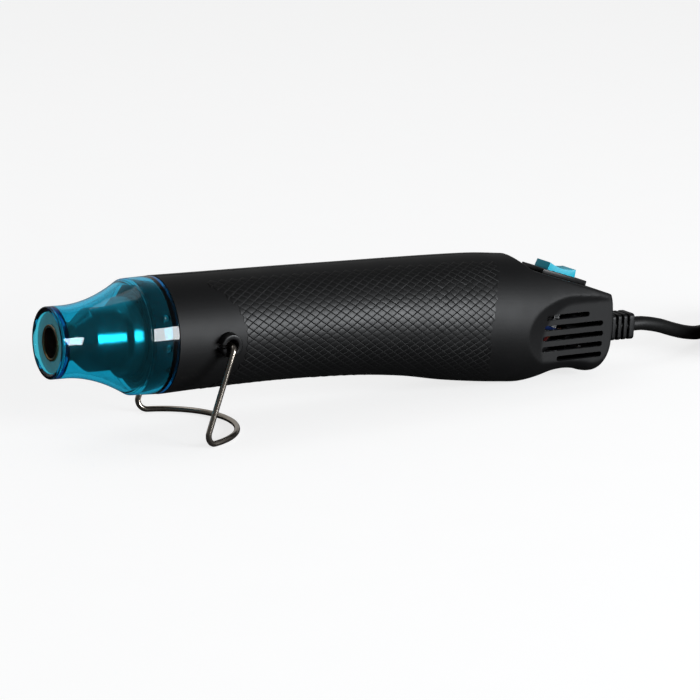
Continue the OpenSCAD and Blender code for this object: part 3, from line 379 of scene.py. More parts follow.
def above_pad(name, drop, corner):
    """Block over the switch pad and the ramp in front of it, lowered by drop."""
    turn = math.pi / 2 - PAD_SLOPE
    edge_x = (REAR - PAD_X) / math.cos(PAD_SLOPE) - PAD_EDGE_R * math.tan(turn / 2)
    arc = [(edge_x + PAD_EDGE_R * math.sin(turn * k / 8),
            PAD_EDGE_R * (math.cos(turn * k / 8) - 1), 0) for k in range(9)]
    points = rounded([(RAMP_AT, 0, corner)] + arc + [
        (70, arc[-1][1], 0), (70, 60, 0), (RAMP_AT - 60, 60, 0),
        (RAMP_AT - 60, 60 * RAMP_SLOPE, 0)], 0, steps=5)
    block = slab(name, points, -40, 40)
    block.data.transform(AT_SWITCH @ Matrix.Translation((0, 0, -drop * MM)))
    return block


SCOOP_X, SCOOP_Z, SCOOP_R, SCOOP_FLARE, SCOOP_DEPTH = 219.5, -13.0, 16.2, 2.8, 9.0
PANEL_HALF_W, PANEL_TAPER = 17.0, math.radians(4)


def scoop_block(name, inset):
    """Cone and straight trough that leave the flat panel with the air slots."""
    r0 = SCOOP_R + inset / 2
    r1 = r0 + SCOOP_DEPTH * SCOOP_FLARE
    bpy.ops.mesh.primitive_cone_add(
        vertices=96, radius1=r0 * MM, radius2=r1 * MM, depth=SCOOP_DEPTH * MM,
        location=(0, 0, SCOOP_DEPTH / 2 * MM))
    cone = started(name)
    trough = slab(name + "_trough", [(-r0, 0), (r0, 0), (r1, SCOOP_DEPTH), (-r1, SCOOP_DEPTH)],
                  0, 60)
    # The trough runs back along +X, its outline across it
    trough.data.transform(Matrix(((0, 1, 0, 0), (1, 0, 0, 0), (0, 0, 1, 0), (0, 0, 0, 1))))
    clean(trough)
    carve(cone, trough, "UNION")
    cone.data.transform(
        Matrix.Translation((SCOOP_X * MM, -PANEL_HALF_W * MM, SCOOP_Z * MM))
        @ Matrix.Rotation(PANEL_TAPER, 4, "Z") @ Matrix.Rotation(math.pi / 2, 4, "X")
        @ Matrix.Translation((0, 0, -inset * MM)))
    return cone


SLOTS = ((2, -35.3, -13.3), (1, -35.7, -6.1), (0, -36.1, -5.8), (-1, -36.3, -6), (-2, -28.7, -6))
SLOT_H, SLOT_PITCH, SLOTS_Z = 2.1, 4.2, -10.0
PIVOT_X, PIVOT_Z = SEAM + 19.6, -0.5


def slot_cutter(row, x0, x1):
    """Bar with round ends that cuts one air slot in the -Y flank."""
    z, half = SLOTS_Z + row * SLOT_PITCH, SLOT_H / 2
    ends = ((REAR + x1 - half, -90), (REAR + x0 + half, 90))
    points = [(x + half * math.cos(a), z + half * math.sin(a))
              for x, start in ends
              for a in (math.radians(start + 15 * k) for k in range(13))]
    return slab("slot", points, -27, -9)


def length_value(name, description, default, low, high):
    return FloatProperty(name=name, description=description, default=default, min=low, max=high,
                         precision=5, unit="LENGTH")


def colour_value(name, description, default):
    return FloatVectorProperty(name=name, description=description, default=default,
                               subtype="COLOR", min=0, max=1)


def power_value(name, description, default):
    return FloatProperty(name=name, description=description, default=default, min=0, max=200,
                         unit="POWER")


class GripSizes(bpy.types.PropertyGroup):
    """Sizes of the grip's surface."""
    grain_size: length_value(
        "Skin detail", "Edge length of the grip's remeshed skin", 0.0006, 0.0004, 0.002)
    diamond_length: length_value(
        "Diamond length", "Distance between diamonds along the grip", 0.0044, 0.002, 0.006)
    diamond_height: length_value(
        "Diamond height", "Distance between like rows of diamonds", 0.0031, 0.001, 0.004)
    diamond_rise: length_value(
        "Diamond rise", "Height of a diamond's middle over the skin", 0.00016, 0.0, 0.0005)


class ToolColours(bpy.types.PropertyGroup):
    """Main colours of the tool."""
    grip: colour_value("Grip", "Matt black of the two grip shells", (0.004, 0.004, 0.0043))
    guard: colour_value("Guard", "Tint of the clear nozzle guard", (0.3, 0.84, 0.92))
    rocker: colour_value("Rocker", "Colour of the rocker switch", (0.008, 0.42, 0.57))
    wire: colour_value("Stand wire", "Warm nickel of the folding stand", (0.58, 0.52, 0.45))


class StageSettings(bpy.types.PropertyGroup):
    """Lamps round the tool, and how round its cord is."""
    key_power: power_value("Key power", "Power of the large soft lamp on the camera's side", 24.0)
    top_power: power_value("Top power", "Power of the soft lamp overhead", 1.5)
    cord_sides: IntProperty(
        name="Cord sides", description="Half the number of sides of the round cord",
        default=6, min=3, max=12)


# Materials

def node(owner, kind, **values):
    """Add a node to a material or world. values are its sockets' values or its own settings."""
    made = owner.node_tree.nodes.new(kind)
    for key, value in values.items():
        if key in made.inputs:
            made.inputs[key].default_value = value
        else:
            setattr(made, key, value)
    return made


def link(owner, a, b):
    owner.node_tree.links.new(a, b)


def feed(owner, value, socket):
    """Put a number in a socket, or link another node's output to it."""
    if isinstance(value, bpy.types.NodeSocket):
        link(owner, value, socket)
    else:
        socket.default_value = value


def skin_of(mat):
    return mat.node_tree.nodes["Principled BSDF"]


def tones(mat, source, low, high, from_low=0.3, from_high=0.7):
    """Ramp from colour low to colour high over a factor."""
    ramp = node(mat, "ShaderNodeValToRGB")
    link(mat, source, ramp.inputs["Fac"])
    for stop, at, shade in zip(ramp.color_ramp.elements, (from_low, from_high), (low, high)):
        stop.position = at
        stop.color = (*shade, 1)
    return ramp.outputs["Color"]


def between(owner, source, low, high, start=0.0, end=1.0):
    """Values from low to high, as source goes from start to end."""
    step = node(owner, "ShaderNodeMapRange")
    for name, value in (("From Min", start), ("From Max", end), ("To Min", low),
                        ("To Max", high)):
        step.inputs[name].default_value = value
    link(owner, source, step.inputs["Value"])
    return step.outputs["Result"]


def combined(owner, operation, a, b):
    """One math node over two sockets, or a socket and a number."""
    step = node(owner, "ShaderNodeMath", operation=operation)
    feed(owner, a, step.inputs[0])
    feed(owner, b, step.inputs[1])
    return step.outputs[0]


def mixed(owner, factor, a, b):
    """From a, where factor is 0, to b, where it is 1."""
    step = node(owner, "ShaderNodeMix")
    for name, value in (("Factor", factor), ("A", a), ("B", b)):
        feed(owner, value, step.inputs[name])
    return step.outputs["Result"]


def along_x(owner):
    """Place along X of a piece's own coordinates."""
    parts = node(owner, "ShaderNodeSeparateXYZ")
    link(owner, node(owner, "ShaderNodeTexCoord").outputs["Object"], parts.inputs["Vector"])
    return parts.outputs["X"]


def noise(mat, place, scale, detail=3.0):
    grain = node(mat, "ShaderNodeTexNoise", Scale=scale, Detail=detail)
    link(mat, place, grain.inputs["Vector"])
    return grain.outputs["Fac"]


def finish(name, colour, roughness, metallic=0.0, grain=1500.0, spread=0.2, bump=0.000005,
           stretch=(1, 1, 1), specular=0.36, coat=0.0, soft=0.06):
    """A finish with grain in its colour, gloss and surface. stretch draws the grain out."""
    # The frame's own plain material may hold the name
    plain = bpy.data.materials.get(name)
    if plain:
        plain.name = "plain_" + name
    mat = bpy.data.materials.new(name)
    mat.use_nodes = True
    skin = skin_of(mat)
    place = node(mat, "ShaderNodeTexCoord").outputs["Object"]
    if stretch != (1, 1, 1):
        mapping = node(mat, "ShaderNodeMapping", Scale=stretch)
        link(mat, place, mapping.inputs["Vector"])
        place = mapping.outputs["Vector"]
    fine = noise(mat, place, grain)
    broad = noise(mat, place, grain / 25, 2.0)
    low = [c * (1 - spread) for c in colour]
    high = [min(c * (1 + spread), 1) for c in colour]
    link(mat, tones(mat, fine, low, high), skin.inputs["Base Color"])
    link(mat, between(mat, broad, roughness - soft, roughness + soft), skin.inputs["Roughness"])
    dents = node(mat, "ShaderNodeBump", Strength=0.6, Distance=bump)
    link(mat, fine, dents.inputs["Height"])
    link(mat, dents.outputs["Normal"], skin.inputs["Normal"])
    skin.inputs["Metallic"].default_value = metallic
    skin.inputs["Specular IOR Level"].default_value = specular
    skin.inputs["Coat Weight"].default_value = coat
    return mat


def clear_finish(name, colour, roughness, clearness, deep=0.1):
    """See-through plastic, a little uneven in tint and gloss."""
    mat = finish(name, colour, roughness, grain=90.0, spread=deep, bump=0.000001, soft=0.01)
    skin = skin_of(mat)
    skin.inputs["Transmission Weight"].default_value = clearness
    skin.inputs["IOR"].default_value = 1.49
    return mat


def tinted_through(mat, colour, density):
    """Let a clear material also take up light along the way through it."""
    depth = node(mat, "ShaderNodeVolumeAbsorption", Color=(*colour, 1), Density=density)
    out = mat.node_tree.nodes["Material Output"]
    link(mat, depth.outputs["Volume"], out.inputs["Volume"])


TEMPER_FROM, TEMPER_TO = -0.1281, -0.118
# Colours of the heated sheet, from the mouth back to the plain metal
TEMPER = ((0.0, (0.34, 0.22, 0.1)), (0.12, (0.55, 0.36, 0.3)), (0.25, (0.4, 0.42, 0.5)),
          (0.5, (0.66, 0.58, 0.42)), (1.0, (0.6, 0.59, 0.57)))


def tempered_steel(name):
    """Drawn sheet that heat has turned straw, bronze and blue near the mouth."""
    mat = finish(name, TEMPER[-1][1], 0.24, metallic=1.0, grain=500.0, spread=0.06,
                 bump=0.000004, stretch=(12, 1, 1))
    ramp = node(mat, "ShaderNodeValToRGB")
    link(mat, between(mat, along_x(mat), 0.0, 1.0, TEMPER_FROM, TEMPER_TO), ramp.inputs["Fac"])
    stops = ramp.color_ramp.elements
    for place, shade in TEMPER:
        stop = stops[0] if place == 0 else stops[-1] if place == 1 else stops.new(place)
        stop.color = (*shade, 1)
    link(mat, ramp.outputs["Color"], skin_of(mat).inputs["Base Color"])


BLACK = (0.0035, 0.0035, 0.0038)
STEEL = (0.56, 0.56, 0.57)
PALE = (0.72, 0.71, 0.66)
# Slot: colour, roughness, metal, grain per metre, colour spread
FINISHES = {
    "holder_black": (BLACK, 0.6, 0, 1800, 0.3),
    "mica": ((0.5, 0.44, 0.32), 0.35, 0, 260, 0.35),
    "heater_wire": ((0.25, 0.23, 0.22), 0.5, 1, 1200, 0.4),
    "fuse_white": (PALE, 0.3, 0, 900, 0.1),
    "tab_brass": ((0.68, 0.5, 0.2), 0.28, 1, 700, 0.15),
    "bearing_bronze": ((0.5, 0.33, 0.15), 0.45, 1, 2500, 0.3),
    "fan_white": (PALE, 0.45, 0, 800, 0.08),
    "mount_grey": ((0.05, 0.05, 0.055), 0.5, 0, 1500, 0.2),
    "screw_steel": (STEEL, 0.3, 1, 1200, 0.15),
    "can_steel": ((0.6, 0.6, 0.6), 0.25, 1, 400, 0.08),
    "cap_white": ((0.78, 0.78, 0.72), 0.4, 0, 900, 0.08),
    "magnet_grey": ((0.07, 0.07, 0.075), 0.6, 0, 1500, 0.3),
    "core_steel": ((0.32, 0.32, 0.33), 0.45, 1, 1800, 0.3),
    "copper": ((0.62, 0.26, 0.1), 0.3, 1, 1500, 0.3),
    "board_green": ((0.015, 0.14, 0.05), 0.35, 0, 600, 0.25),
    "diode_black": (BLACK, 0.4, 0, 1500, 0.2),
    "capacitor_blue": ((0.015, 0.035, 0.2), 0.25, 0, 500, 0.15),
    "spring_steel": (STEEL, 0.25, 1, 900, 0.1),
    "lead_brown": ((0.15, 0.06, 0.025), 0.4, 0, 900, 0.15),
    # The blue, red and white leads are set far darker than their own colours: painted shade for the
    # dim inside of the shell, seen through the air slots.
    "lead_blue": ((0.008, 0.025, 0.12), 0.4, 0, 900, 0.15),
    "lead_red": ((0.12, 0.008, 0.008), 0.4, 0, 900, 0.15),
    "lead_white": ((0.14, 0.14, 0.13), 0.4, 0, 900, 0.08),
    "lead_black": (BLACK, 0.4, 0, 900, 0.2),
    "lead_yellow": ((0.32, 0.22, 0.02), 0.4, 0, 900, 0.12),
    "clamp_black": (BLACK, 0.5, 0, 1500, 0.25),
    "relief_black": ((0.003, 0.003, 0.0032), 0.46, 0, 1600, 0.25),
    "cord_black": ((0.005, 0.005, 0.005), 0.52, 0, 1400, 0.2),
    "bush_black": ((0.0035, 0.0035, 0.0038), 0.3, 0, 1200, 0.25),
    "tie_black": ((0.012, 0.012, 0.013), 0.7, 0, 2500, 0.4),
    "plug_black": ((0.014, 0.014, 0.015), 0.45, 0, 1600, 0.25),
    "pin_nickel": ((0.7, 0.69, 0.66), 0.18, 1, 900, 0.05),
}


ABSORBED, ABSORPTION = (0.03, 0.79, 0.893), 700.0


class HEATTOOL_OT_materials(bpy.types.Operator):
    """Make every finish and give the CAD nodes theirs"""
    bl_idname = "heattool.materials"
    bl_label = "Materials"

    def execute(self, context):
        colours = context.scene.tool_colours
        for slot, (colour, rough, metal, grain, spread) in FINISHES.items():
            finish(slot, colour, rough, float(metal), float(grain), spread)
        finish("grip_black", colours.grip, 0.55, grain=2600.0, spread=0.35, bump=0.000006,
               specular=0.36)
        finish("grip_pattern", [c * 0.8 for c in colours.grip], 0.45, grain=3000.0, spread=0.3,
               bump=0.000004, specular=0.45)
        finish("bezel_black", BLACK, 0.32, grain=1500.0, spread=0.2)
        finish("wire_nickel", colours.wire, 0.22, metallic=1.0, grain=700.0, spread=0.08,
               bump=0.000004, stretch=(1, 1, 6))
        finish("rocker_cyan", colours.rocker, 0.34, grain=700.0, spread=0.06, bump=0.000003,
               specular=0.35)
        tempered_steel("shield_metal")
        clear = clear_finish("guard_teal", colours.guard, 0.012, 1.0)
        tinted_through(clear, ABSORBED, ABSORPTION)
        clear_finish("guard_frosted", (0.17, 0.62, 0.72), 0.35, 0.25)
        slots = {s["node"]: s["material_slot"] for s in frame["record"]["subparts"]}
        for name, part in frame["nodes"].items():
            part.data.materials.clear()
            part.data.materials.append(bpy.data.materials[slots[name]])
        return {"FINISHED"}


# Cord

CORD_D = 5.8
CORD_R = CORD_D / 2
TURN_STEP = CORD_D + 0.6
TURNS = 6.1
COIL_OUT = 44.0
COIL_X, COIL_Y = 212.0, -18.0
COIL_FROM = math.radians(112)
COIL_Z = CORD_R + 0.8
PLUG_AT = Vector((220.0, -42.0, 20.2))
# Points that the cord passes, from the tool to the coil and from the coil to the plug
CORD_OUT = ((144.5, 1.2, 13.1), (152.5, 3.2, 10.2), (161.5, 6.2, 7.2), (171.3, 10.2, 4.8),
            (180, 15.3, 3.8))
CORD_TO_PLUG = ((240.4, 15.6, 11.2), (249.6, 4.6, 12.8), (254.2, -8, 14.6), (253.4, -21.5, 16.4),
                (247, -33, 18.2), (236.5, -40, 19.6), (226, -42, 20.2), (220, -42, 20.2))
CORD_START = REST @ (Vector((REAR + RELIEF_LEN, 0.0, RELIEF_Z)) * MM) / MM


def coil_at(u):
    """One point of the coil, u turns from its start: in and out again, one layer up."""
    half = TURNS / 2
    q = min(max((u - half) / 0.5 + 0.5, 0), 1)
    r = COIL_OUT - TURN_STEP * (half - abs(u - half))
    a = COIL_FROM - 2 * math.pi * u
    return Vector((COIL_X + r * math.cos(a), COIL_Y + r * math.sin(a),
                   COIL_Z + TURN_STEP * q * q * (3 - 2 * q)))


def smooth_way(points, steps):
    """Smooth route through points, with steps pieces between neighbours."""
    def heading(k):
        return (points[min(k + 1, len(points) - 1)] - points[max(k - 1, 0)]).normalized()

    way = []
    for k in range(len(points) - 1):
        a, b = points[k], points[k + 1]
        width = (b - a).length
        way += [eased(a, b, heading(k), heading(k + 1), width, s / steps)
                for s in range(steps)]
    way.append(points[-1])
    return way


def cord_way():
    """The whole cord's route, from the strain relief to the plug, in millimetres."""
    rings = math.ceil(TURNS * 24)
    coil = [coil_at(k * TURNS / rings) for k in range(rings + 1)]
    into = (coil[1] - coil[0]).normalized()
    out = (coil[-1] - coil[-2]).normalized()
    start = coil[0] - into * CORD_D
    end = coil[-1] + out * CORD_D
    cord_dir = Vector((math.cos(NOSE_UP), 0, -math.sin(NOSE_UP)))
    first = smooth_way([CORD_START, CORD_START + cord_dir * CORD_D]
                       + [Vector(p) for p in CORD_OUT] + [start - into * 2, start], 3)
    last = smooth_way([end, end + out * 4] + [Vector(p) for p in CORD_TO_PLUG], 3)
    return first + coil + last


def rounded_tube(name, points, radius, sides):
    """A round tube along points in millimetres, as a curve of one spline."""
    curve = bpy.data.curves.new(name, "CURVE")
    curve.dimensions = "3D"
    spline = curve.splines.new("POLY")
    spline.points.add(len(points) - 1)
    for knot, point in zip(spline.points, points):
        knot.co = (*(Vector(point) * MM), 1)
    spline.use_smooth = True
    curve.bevel_depth = radius * MM
    curve.bevel_resolution = sides
    curve.use_fill_caps = True
    tube = bpy.data.objects.new(name, curve)
    bpy.context.collection.objects.link(tube)
    return tube


PLUG_SLEEVE, PLUG_LEN, PLUG_W, PLUG_H = 8.0, 27.0, 35.3, 13.6
TIE_ANGLE = math.radians(185)


class HEATTOOL_OT_cord(bpy.types.Operator):
    """Lay the mains cord with its coil, tie and plug"""
    bl_idname = "heattool.cord"
    bl_label = "Mains cord"

    def execute(self, context):
        way = cord_way()
        cord = rounded_tube("mains_cord", way, CORD_R, context.scene.stage_settings.cord_sides)
        cord.data.materials.append(bpy.data.materials["cord_black"])
        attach(cord, "body")
        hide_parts("power_cord", "cord_coil", "plug_lead")

        body = self.plug_body()
        pins = self.plug_pins()
        tie = self.tie()
        return {"FINISHED"}

    def plug_body(self):
        """Flat moulded body with a waist and a ribbed sleeve."""
        x1, x2 = -PLUG_SLEEVE, -PLUG_SLEEVE - PLUG_LEN
        half = PLUG_W / 2
        points = rounded([(x1, -6), (x1, 6), (x1 - 13, half - 1.4), (x1 - 18, half),
                          (x2, half), (x2, -half), (x1 - 18, -half), (x1 - 13, 1.4 - half)],
                         3.0, steps=5)
        body = slab("plug", points, -PLUG_H / 2, PLUG_H / 2)
        # The outline was pushed through along Y: lay it flat
        body.data.transform(Matrix.Rotation(-math.pi / 2, 4, "X"))
        bevel(body, 1.6, segments=4)
        for k in range(4):
            x = x1 - 6 - 3.2 * k
            for side in (-1, 1):
                groove = brick("groove", (x - 0.5, -half, side * PLUG_H / 2 - 0.5),
                               (x + 0.5, half, side * PLUG_H / 2 + 0.5))
                carve(body, groove)
        sleeve = turned("sleeve", rounded(
            [(0, -PLUG_SLEEVE - 1)] + [(r, x) for x0 in (-8.0, -5.6, -3.2) for r, x in
                                       ((4.1, x0 + 0.2), (4.1, x0 + 1.5), (3.5, x0 + 1.6),
                                        (3.5, x0 + 2.3))] + [(4.0, -0.7), (4.0, 0), (0, 0)],
            0.25), 48)
        carve(body, sleeve, "UNION")
        body.data.transform(Matrix.Translation(PLUG_AT * MM))
        smooth(body)
        place_on(body, "body", "plug_black", "plug_black", "plug_body")
        return body

    def plug_pins(self):
        pins = []
        base = -PLUG_SLEEVE - PLUG_LEN
        for side in (-1, 1):
            pin = turned("pins", rounded([(0, base), (2.0, base), (2.0, base - 19, 0.9),
                                          (0, base - 19)], 0.0, steps=5), 48)
            pin.data.transform(Matrix.Translation((0, side * 9.5 * MM, 0)))
            pins.append(pin)
        both = joined(*pins)
        both.data.transform(Matrix.Translation(PLUG_AT * MM))
        smooth(both)
        place_on(both, "body", "pin_nickel", "pin_nickel", "plug_pins")
        return both

    def tie(self):
        """Soft band with round corners about the coil's bundle."""
        low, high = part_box("cord_tie")
        centre = Vector((COIL_X, COIL_Y, 0)) * MM
        turn = Matrix.Rotation(-TIE_ANGLE, 4, "Z")
        corners = [turn @ (Vector(v.co) - centre)
                   for v in frame["nodes"]["cord_tie"].data.vertices]
        x0, x1 = min(c.x for c in corners) / MM, max(c.x for c in corners) / MM
        z0, z1 = low.z / MM, high.z / MM
        outer = rounded([(x0, z0), (x1, z0), (x1, z1), (x0, z1)], 3.4, steps=6)
        inner = rounded([(x0 + 0.6, z0 + 0.6), (x1 - 0.6, z0 + 0.6), (x1 - 0.6, z1 - 0.6),
                         (x0 + 0.6, z1 - 0.6)], 2.9, steps=6)
        band = slab("coil_tie", outer, -4, 4)
        carve(band, slab("hollow", inner, -5, 5))
        bevel(band, 0.2, segments=2)
        band.data.transform(Matrix.Translation(centre) @ Matrix.Rotation(TIE_ANGLE, 4, "Z"))
        smooth(band)
        place_on(band, "body", "tie_black", "tie_black", "cord_tie")
        return band


# Grip

# How far the grip's rough block runs past its front end and its middle
OVER = 4
GRIP_WALL = 1.9
RAMP_EASE = 5
PIVOT_BORE_R = 4.65
RELIEF_BORE_R = 4.4
SWITCH_WELL = (-9.5, -6.5, -5), (9.5, 6.5, 1)
SCREW_SPOTS = ((72.45, 15.3), (72.45, -15.2), (150, 15.5), (150, -17.4), (196, -19))
SCREW_WELL_R = 2.9
# Two walls in the right shell that keep the light out behind the air slots
BAFFLE = (((213, 8.2, -24), (232, 9.4, -3)), ((213, 8.2, -20), (214.2, 15.8, -3)))
# The shells meet with this much free on either side of the middle
SEAM_GAP = 0.03


class HEATTOOL_OT_grip(bpy.types.Operator):
    """Model the two grip shells with pad, scoops, air slots and holes"""
    bl_idname = "heattool.grip"
    bl_label = "Grip shells"

    def execute(self, context):
        sizes = context.scene.grip_sizes
        shell = grip_block("grip_left", 0, OVER, SEAM - OVER, REAR, 150, 60)
        carve(shell, above_pad("pad", 0, RAMP_EASE))
        carve(shell, scoop_block("scoop", 0))
        modifier(shell, "REMESH", mode="VOXEL", voxel_size=sizes.grain_size)
        modifier(shell, "SMOOTH", factor=0.5, iterations=3)
        edit(shell)
        bpy.ops.mesh.bisect(plane_co=(SEAM * MM, 0, 0), plane_no=(1, 0, 0), use_fill=True,
                            clear_inner=True)
        bpy.ops.mesh.select_all(action="SELECT")
        bpy.ops.mesh.bisect(plane_co=(0, -SEAM_GAP * MM, 0), plane_no=(0, 1, 0), use_fill=True,
                            clear_outer=True)
        leave_edit()
        self.ease_seam(shell)

        hollow = grip_block("hollow", GRIP_WALL, OVER, SEAM - OVER, REAR - GRIP_WALL, 70, 40)
        carve(hollow, above_pad("under_pad", GRIP_WALL, RAMP_EASE))
        carve(hollow, scoop_block("under_scoop", GRIP_WALL))
        carve(shell, hollow)
        cutters = [slot_cutter(*row) for row in SLOTS]
        cutters.append(peg("pivot", PIVOT_X, PIVOT_Z, -40, -10, PIVOT_BORE_R))
        for cutter in cutters:
            carve(shell, cutter)
        bore = turned("relief_bore", [(0, REAR - 10), (RELIEF_BORE_R, REAR - 10),
                                      (RELIEF_BORE_R, REAR + 5), (0, REAR + 5)], 48)
        bore.data.transform(Matrix.Translation((0, 0, RELIEF_Z * MM)))
        carve(shell, bore)
        well = brick("well", *SWITCH_WELL)
        well.data.transform(AT_SWITCH)
        carve(shell, well)
        other = mirrored(shell, "grip_right")
        for x, z in SCREW_SPOTS:
            carve(other, peg("screw_well", x, z, 8, 40, SCREW_WELL_R))
        for low, high in BAFFLE:
            carve(other, brick("baffle", low, high), "UNION")
        for half, cad in ((shell, "left_shell"), (other, "right_shell")):
            finished(half, "body", "grip_black", cad, angle=32)
        return {"FINISHED"}

    def ease_seam(self, shell):
        """Break the edge along the seam between the two shells."""
        middle = -SEAM_GAP * MM
        select_edges(shell, lambda a, b: all(abs(end.y - middle) < 1e-7 for end in (a, b)))
        bpy.ops.mesh.bevel(offset=0.22 * MM, segments=2, clamp_overlap=True)
        leave_edit()


# The patch of diamonds: lowest and highest angle round the flank
PATCH_LOW, PATCH_HIGH = -70, 68
PATCH_ROWS, PATCH_COLUMNS = range(-26, 27), range(12, 46)
# A diamond whose middle lies this far past the patch's edge is still set, cut off at the edge
PATCH_OVER = 0.9
# A diamond's foot in the skin, and its inset steps: width, share of the rise
PAD_FOOT = 0.1
PAD_STEPS = ((0.11, 0.75), (0.08, 0.15))
ANGLE_STEP, ANGLE_END = 2, 76


def patch_limits(z):
    """Front and rear edge of the diamond pattern at height z."""
    front = 69.8 - 12.0 * (abs(z) / 20.5) ** 3
    rear = 177.0 + 9.4 * ((z + 5) / 25) ** 2
    return front, min(rear, 186.4)


class HEATTOOL_OT_pattern(bpy.types.Operator):
    """Raise the field of small diamonds on both flanks"""
    bl_idname = "heattool.pattern"
    bl_label = "Diamond pattern"
    tables = {}

    def execute(self, context):
        sizes = context.scene.grip_sizes
        length, height = sizes.diamond_length / MM, sizes.diamond_height / MM
        rise = sizes.diamond_rise / MM
        pad = self.one_pad(length, height, rise)
        spots = self.spots(length, height)
        corners, faces = [], []
        for x, arc in spots:
            first = len(corners)
            front, rear = patch_limits(on_flank(x, self.angle_at(x, arc)).z)
            for p in pad.data.vertices:
                along = min(max(x + p.co.x, front), rear)
                corners.append(self.over_skin(along, arc + p.co.y, p.co.z))
            faces += [[first + v for v in f.vertices] for f in pad.data.polygons]
        bpy.data.objects.remove(pad)
        mesh = bpy.data.meshes.new("grip_pattern_left")
        mesh.from_pydata([c * MM for c in corners], [], faces)
        field = bpy.data.objects.new("grip_pattern_left", mesh)
        bpy.context.collection.objects.link(field)
        edit(field)
        bpy.ops.mesh.normals_make_consistent(inside=False)
        leave_edit()
        other = mirrored(field, "grip_pattern_right")
        for piece in (field, other):
            finished(piece, "body", "grip_pattern", angle=20, slot="grip_black")
        return {"FINISHED"}

    def one_pad(self, length, height, rise):
        """One pillow with wide sloping sides and a slightly domed top, in millimetres."""
        bpy.ops.mesh.primitive_circle_add(vertices=4, radius=1, fill_type="NGON")
        pad = started("pad")
        edit(pad)
        bpy.ops.mesh.extrude_region_move(TRANSFORM_OT_translate={"value": (0, 0, PAD_FOOT)})
        for width, up in PAD_STEPS:
            bpy.ops.mesh.inset(thickness=width, depth=0)
            bpy.ops.transform.translate(value=(0, 0, up * rise))
        bpy.ops.mesh.poke()
        leave_edit()
        top = max(p.co.z for p in pad.data.vertices)
        for p in pad.data.vertices:
            dome = 0.1 * rise if p.co.xy.length < 0.01 and p.co.z > 0 else 0
            lift = p.co.z - PAD_FOOT + dome
            p.co = (p.co.x * length * 0.5, p.co.y * height * 0.5, min(lift, top))
        return pad

    def skin_arc(self, x):
        """Angles and distances round the flank at place x, from the level of the axis."""
        table = []
        for step in (-1, 1):
            run, last = 0.0, on_flank(x, 0)
            for angle in range(ANGLE_STEP, ANGLE_END + 1, ANGLE_STEP):
                here = on_flank(x, step * angle)
                run += (here - last).length
                last = here
                table.append((step * run, step * angle))
        table.append((0.0, 0.0))
        return sorted(table)

    def angle_at(self, x, arc):
        key = round(x)
        if key not in self.tables:
            self.tables[key] = self.skin_arc(key)
        table = self.tables[key]
        for (s0, a0), (s1, a1) in zip(table, table[1:]):
            if arc <= s1:
                return a0 + (a1 - a0) * (arc - s0) / (s1 - s0)
        return table[-1][1]

    def over_skin(self, x, arc, lift):
        angle = self.angle_at(x, arc)
        here = on_flank(x, angle)
        along = on_flank(x + 0.5, angle) - here
        around = on_flank(x, angle + 1) - here
        out = along.cross(around).normalized()
        if out.y > 0:
            out = -out
        return here + out * lift

    def spots(self, length, height):
        """Middles of the diamonds inside the patch, rows offset by half a diamond."""
        self.tables = {}
        found = []
        for row in PATCH_ROWS:
            arc = row * height / 2
            for column in PATCH_COLUMNS:
                x = (column + (row % 2) / 2) * length
                angle = self.angle_at(x, arc)
                if not PATCH_LOW < angle < PATCH_HIGH:
                    continue
                front, rear = patch_limits(on_flank(x, angle).z)
                if front - PATCH_OVER < x < rear + PATCH_OVER:
                    found.append((x, arc))
        return found


# Guard and heat shield

RIM_R, COLLAR_R, WALL = 13.2, 21.8, 1.8
SHOULDER_X, SHOULDER_R, FLARE_X = SEAM - 11.2, 21.4, 6.0
SPIGOT_R, HOLDER_R = 18.3, 16.6


FLARE_CURVE = 1.9
# Dents of the staked collar: place, radius, angles up from the level
DENT_X, DENT_R, DENT_ANGLES = SEAM - 4.6, 1.4, (-1, 28.6)


def flare(x):
    """Radius of the guard's outside at place x."""
    t = max(x - FLARE_X, 0) / (SHOULDER_X - FLARE_X)
    return RIM_R + (SHOULDER_R - RIM_R) * t ** FLARE_CURVE


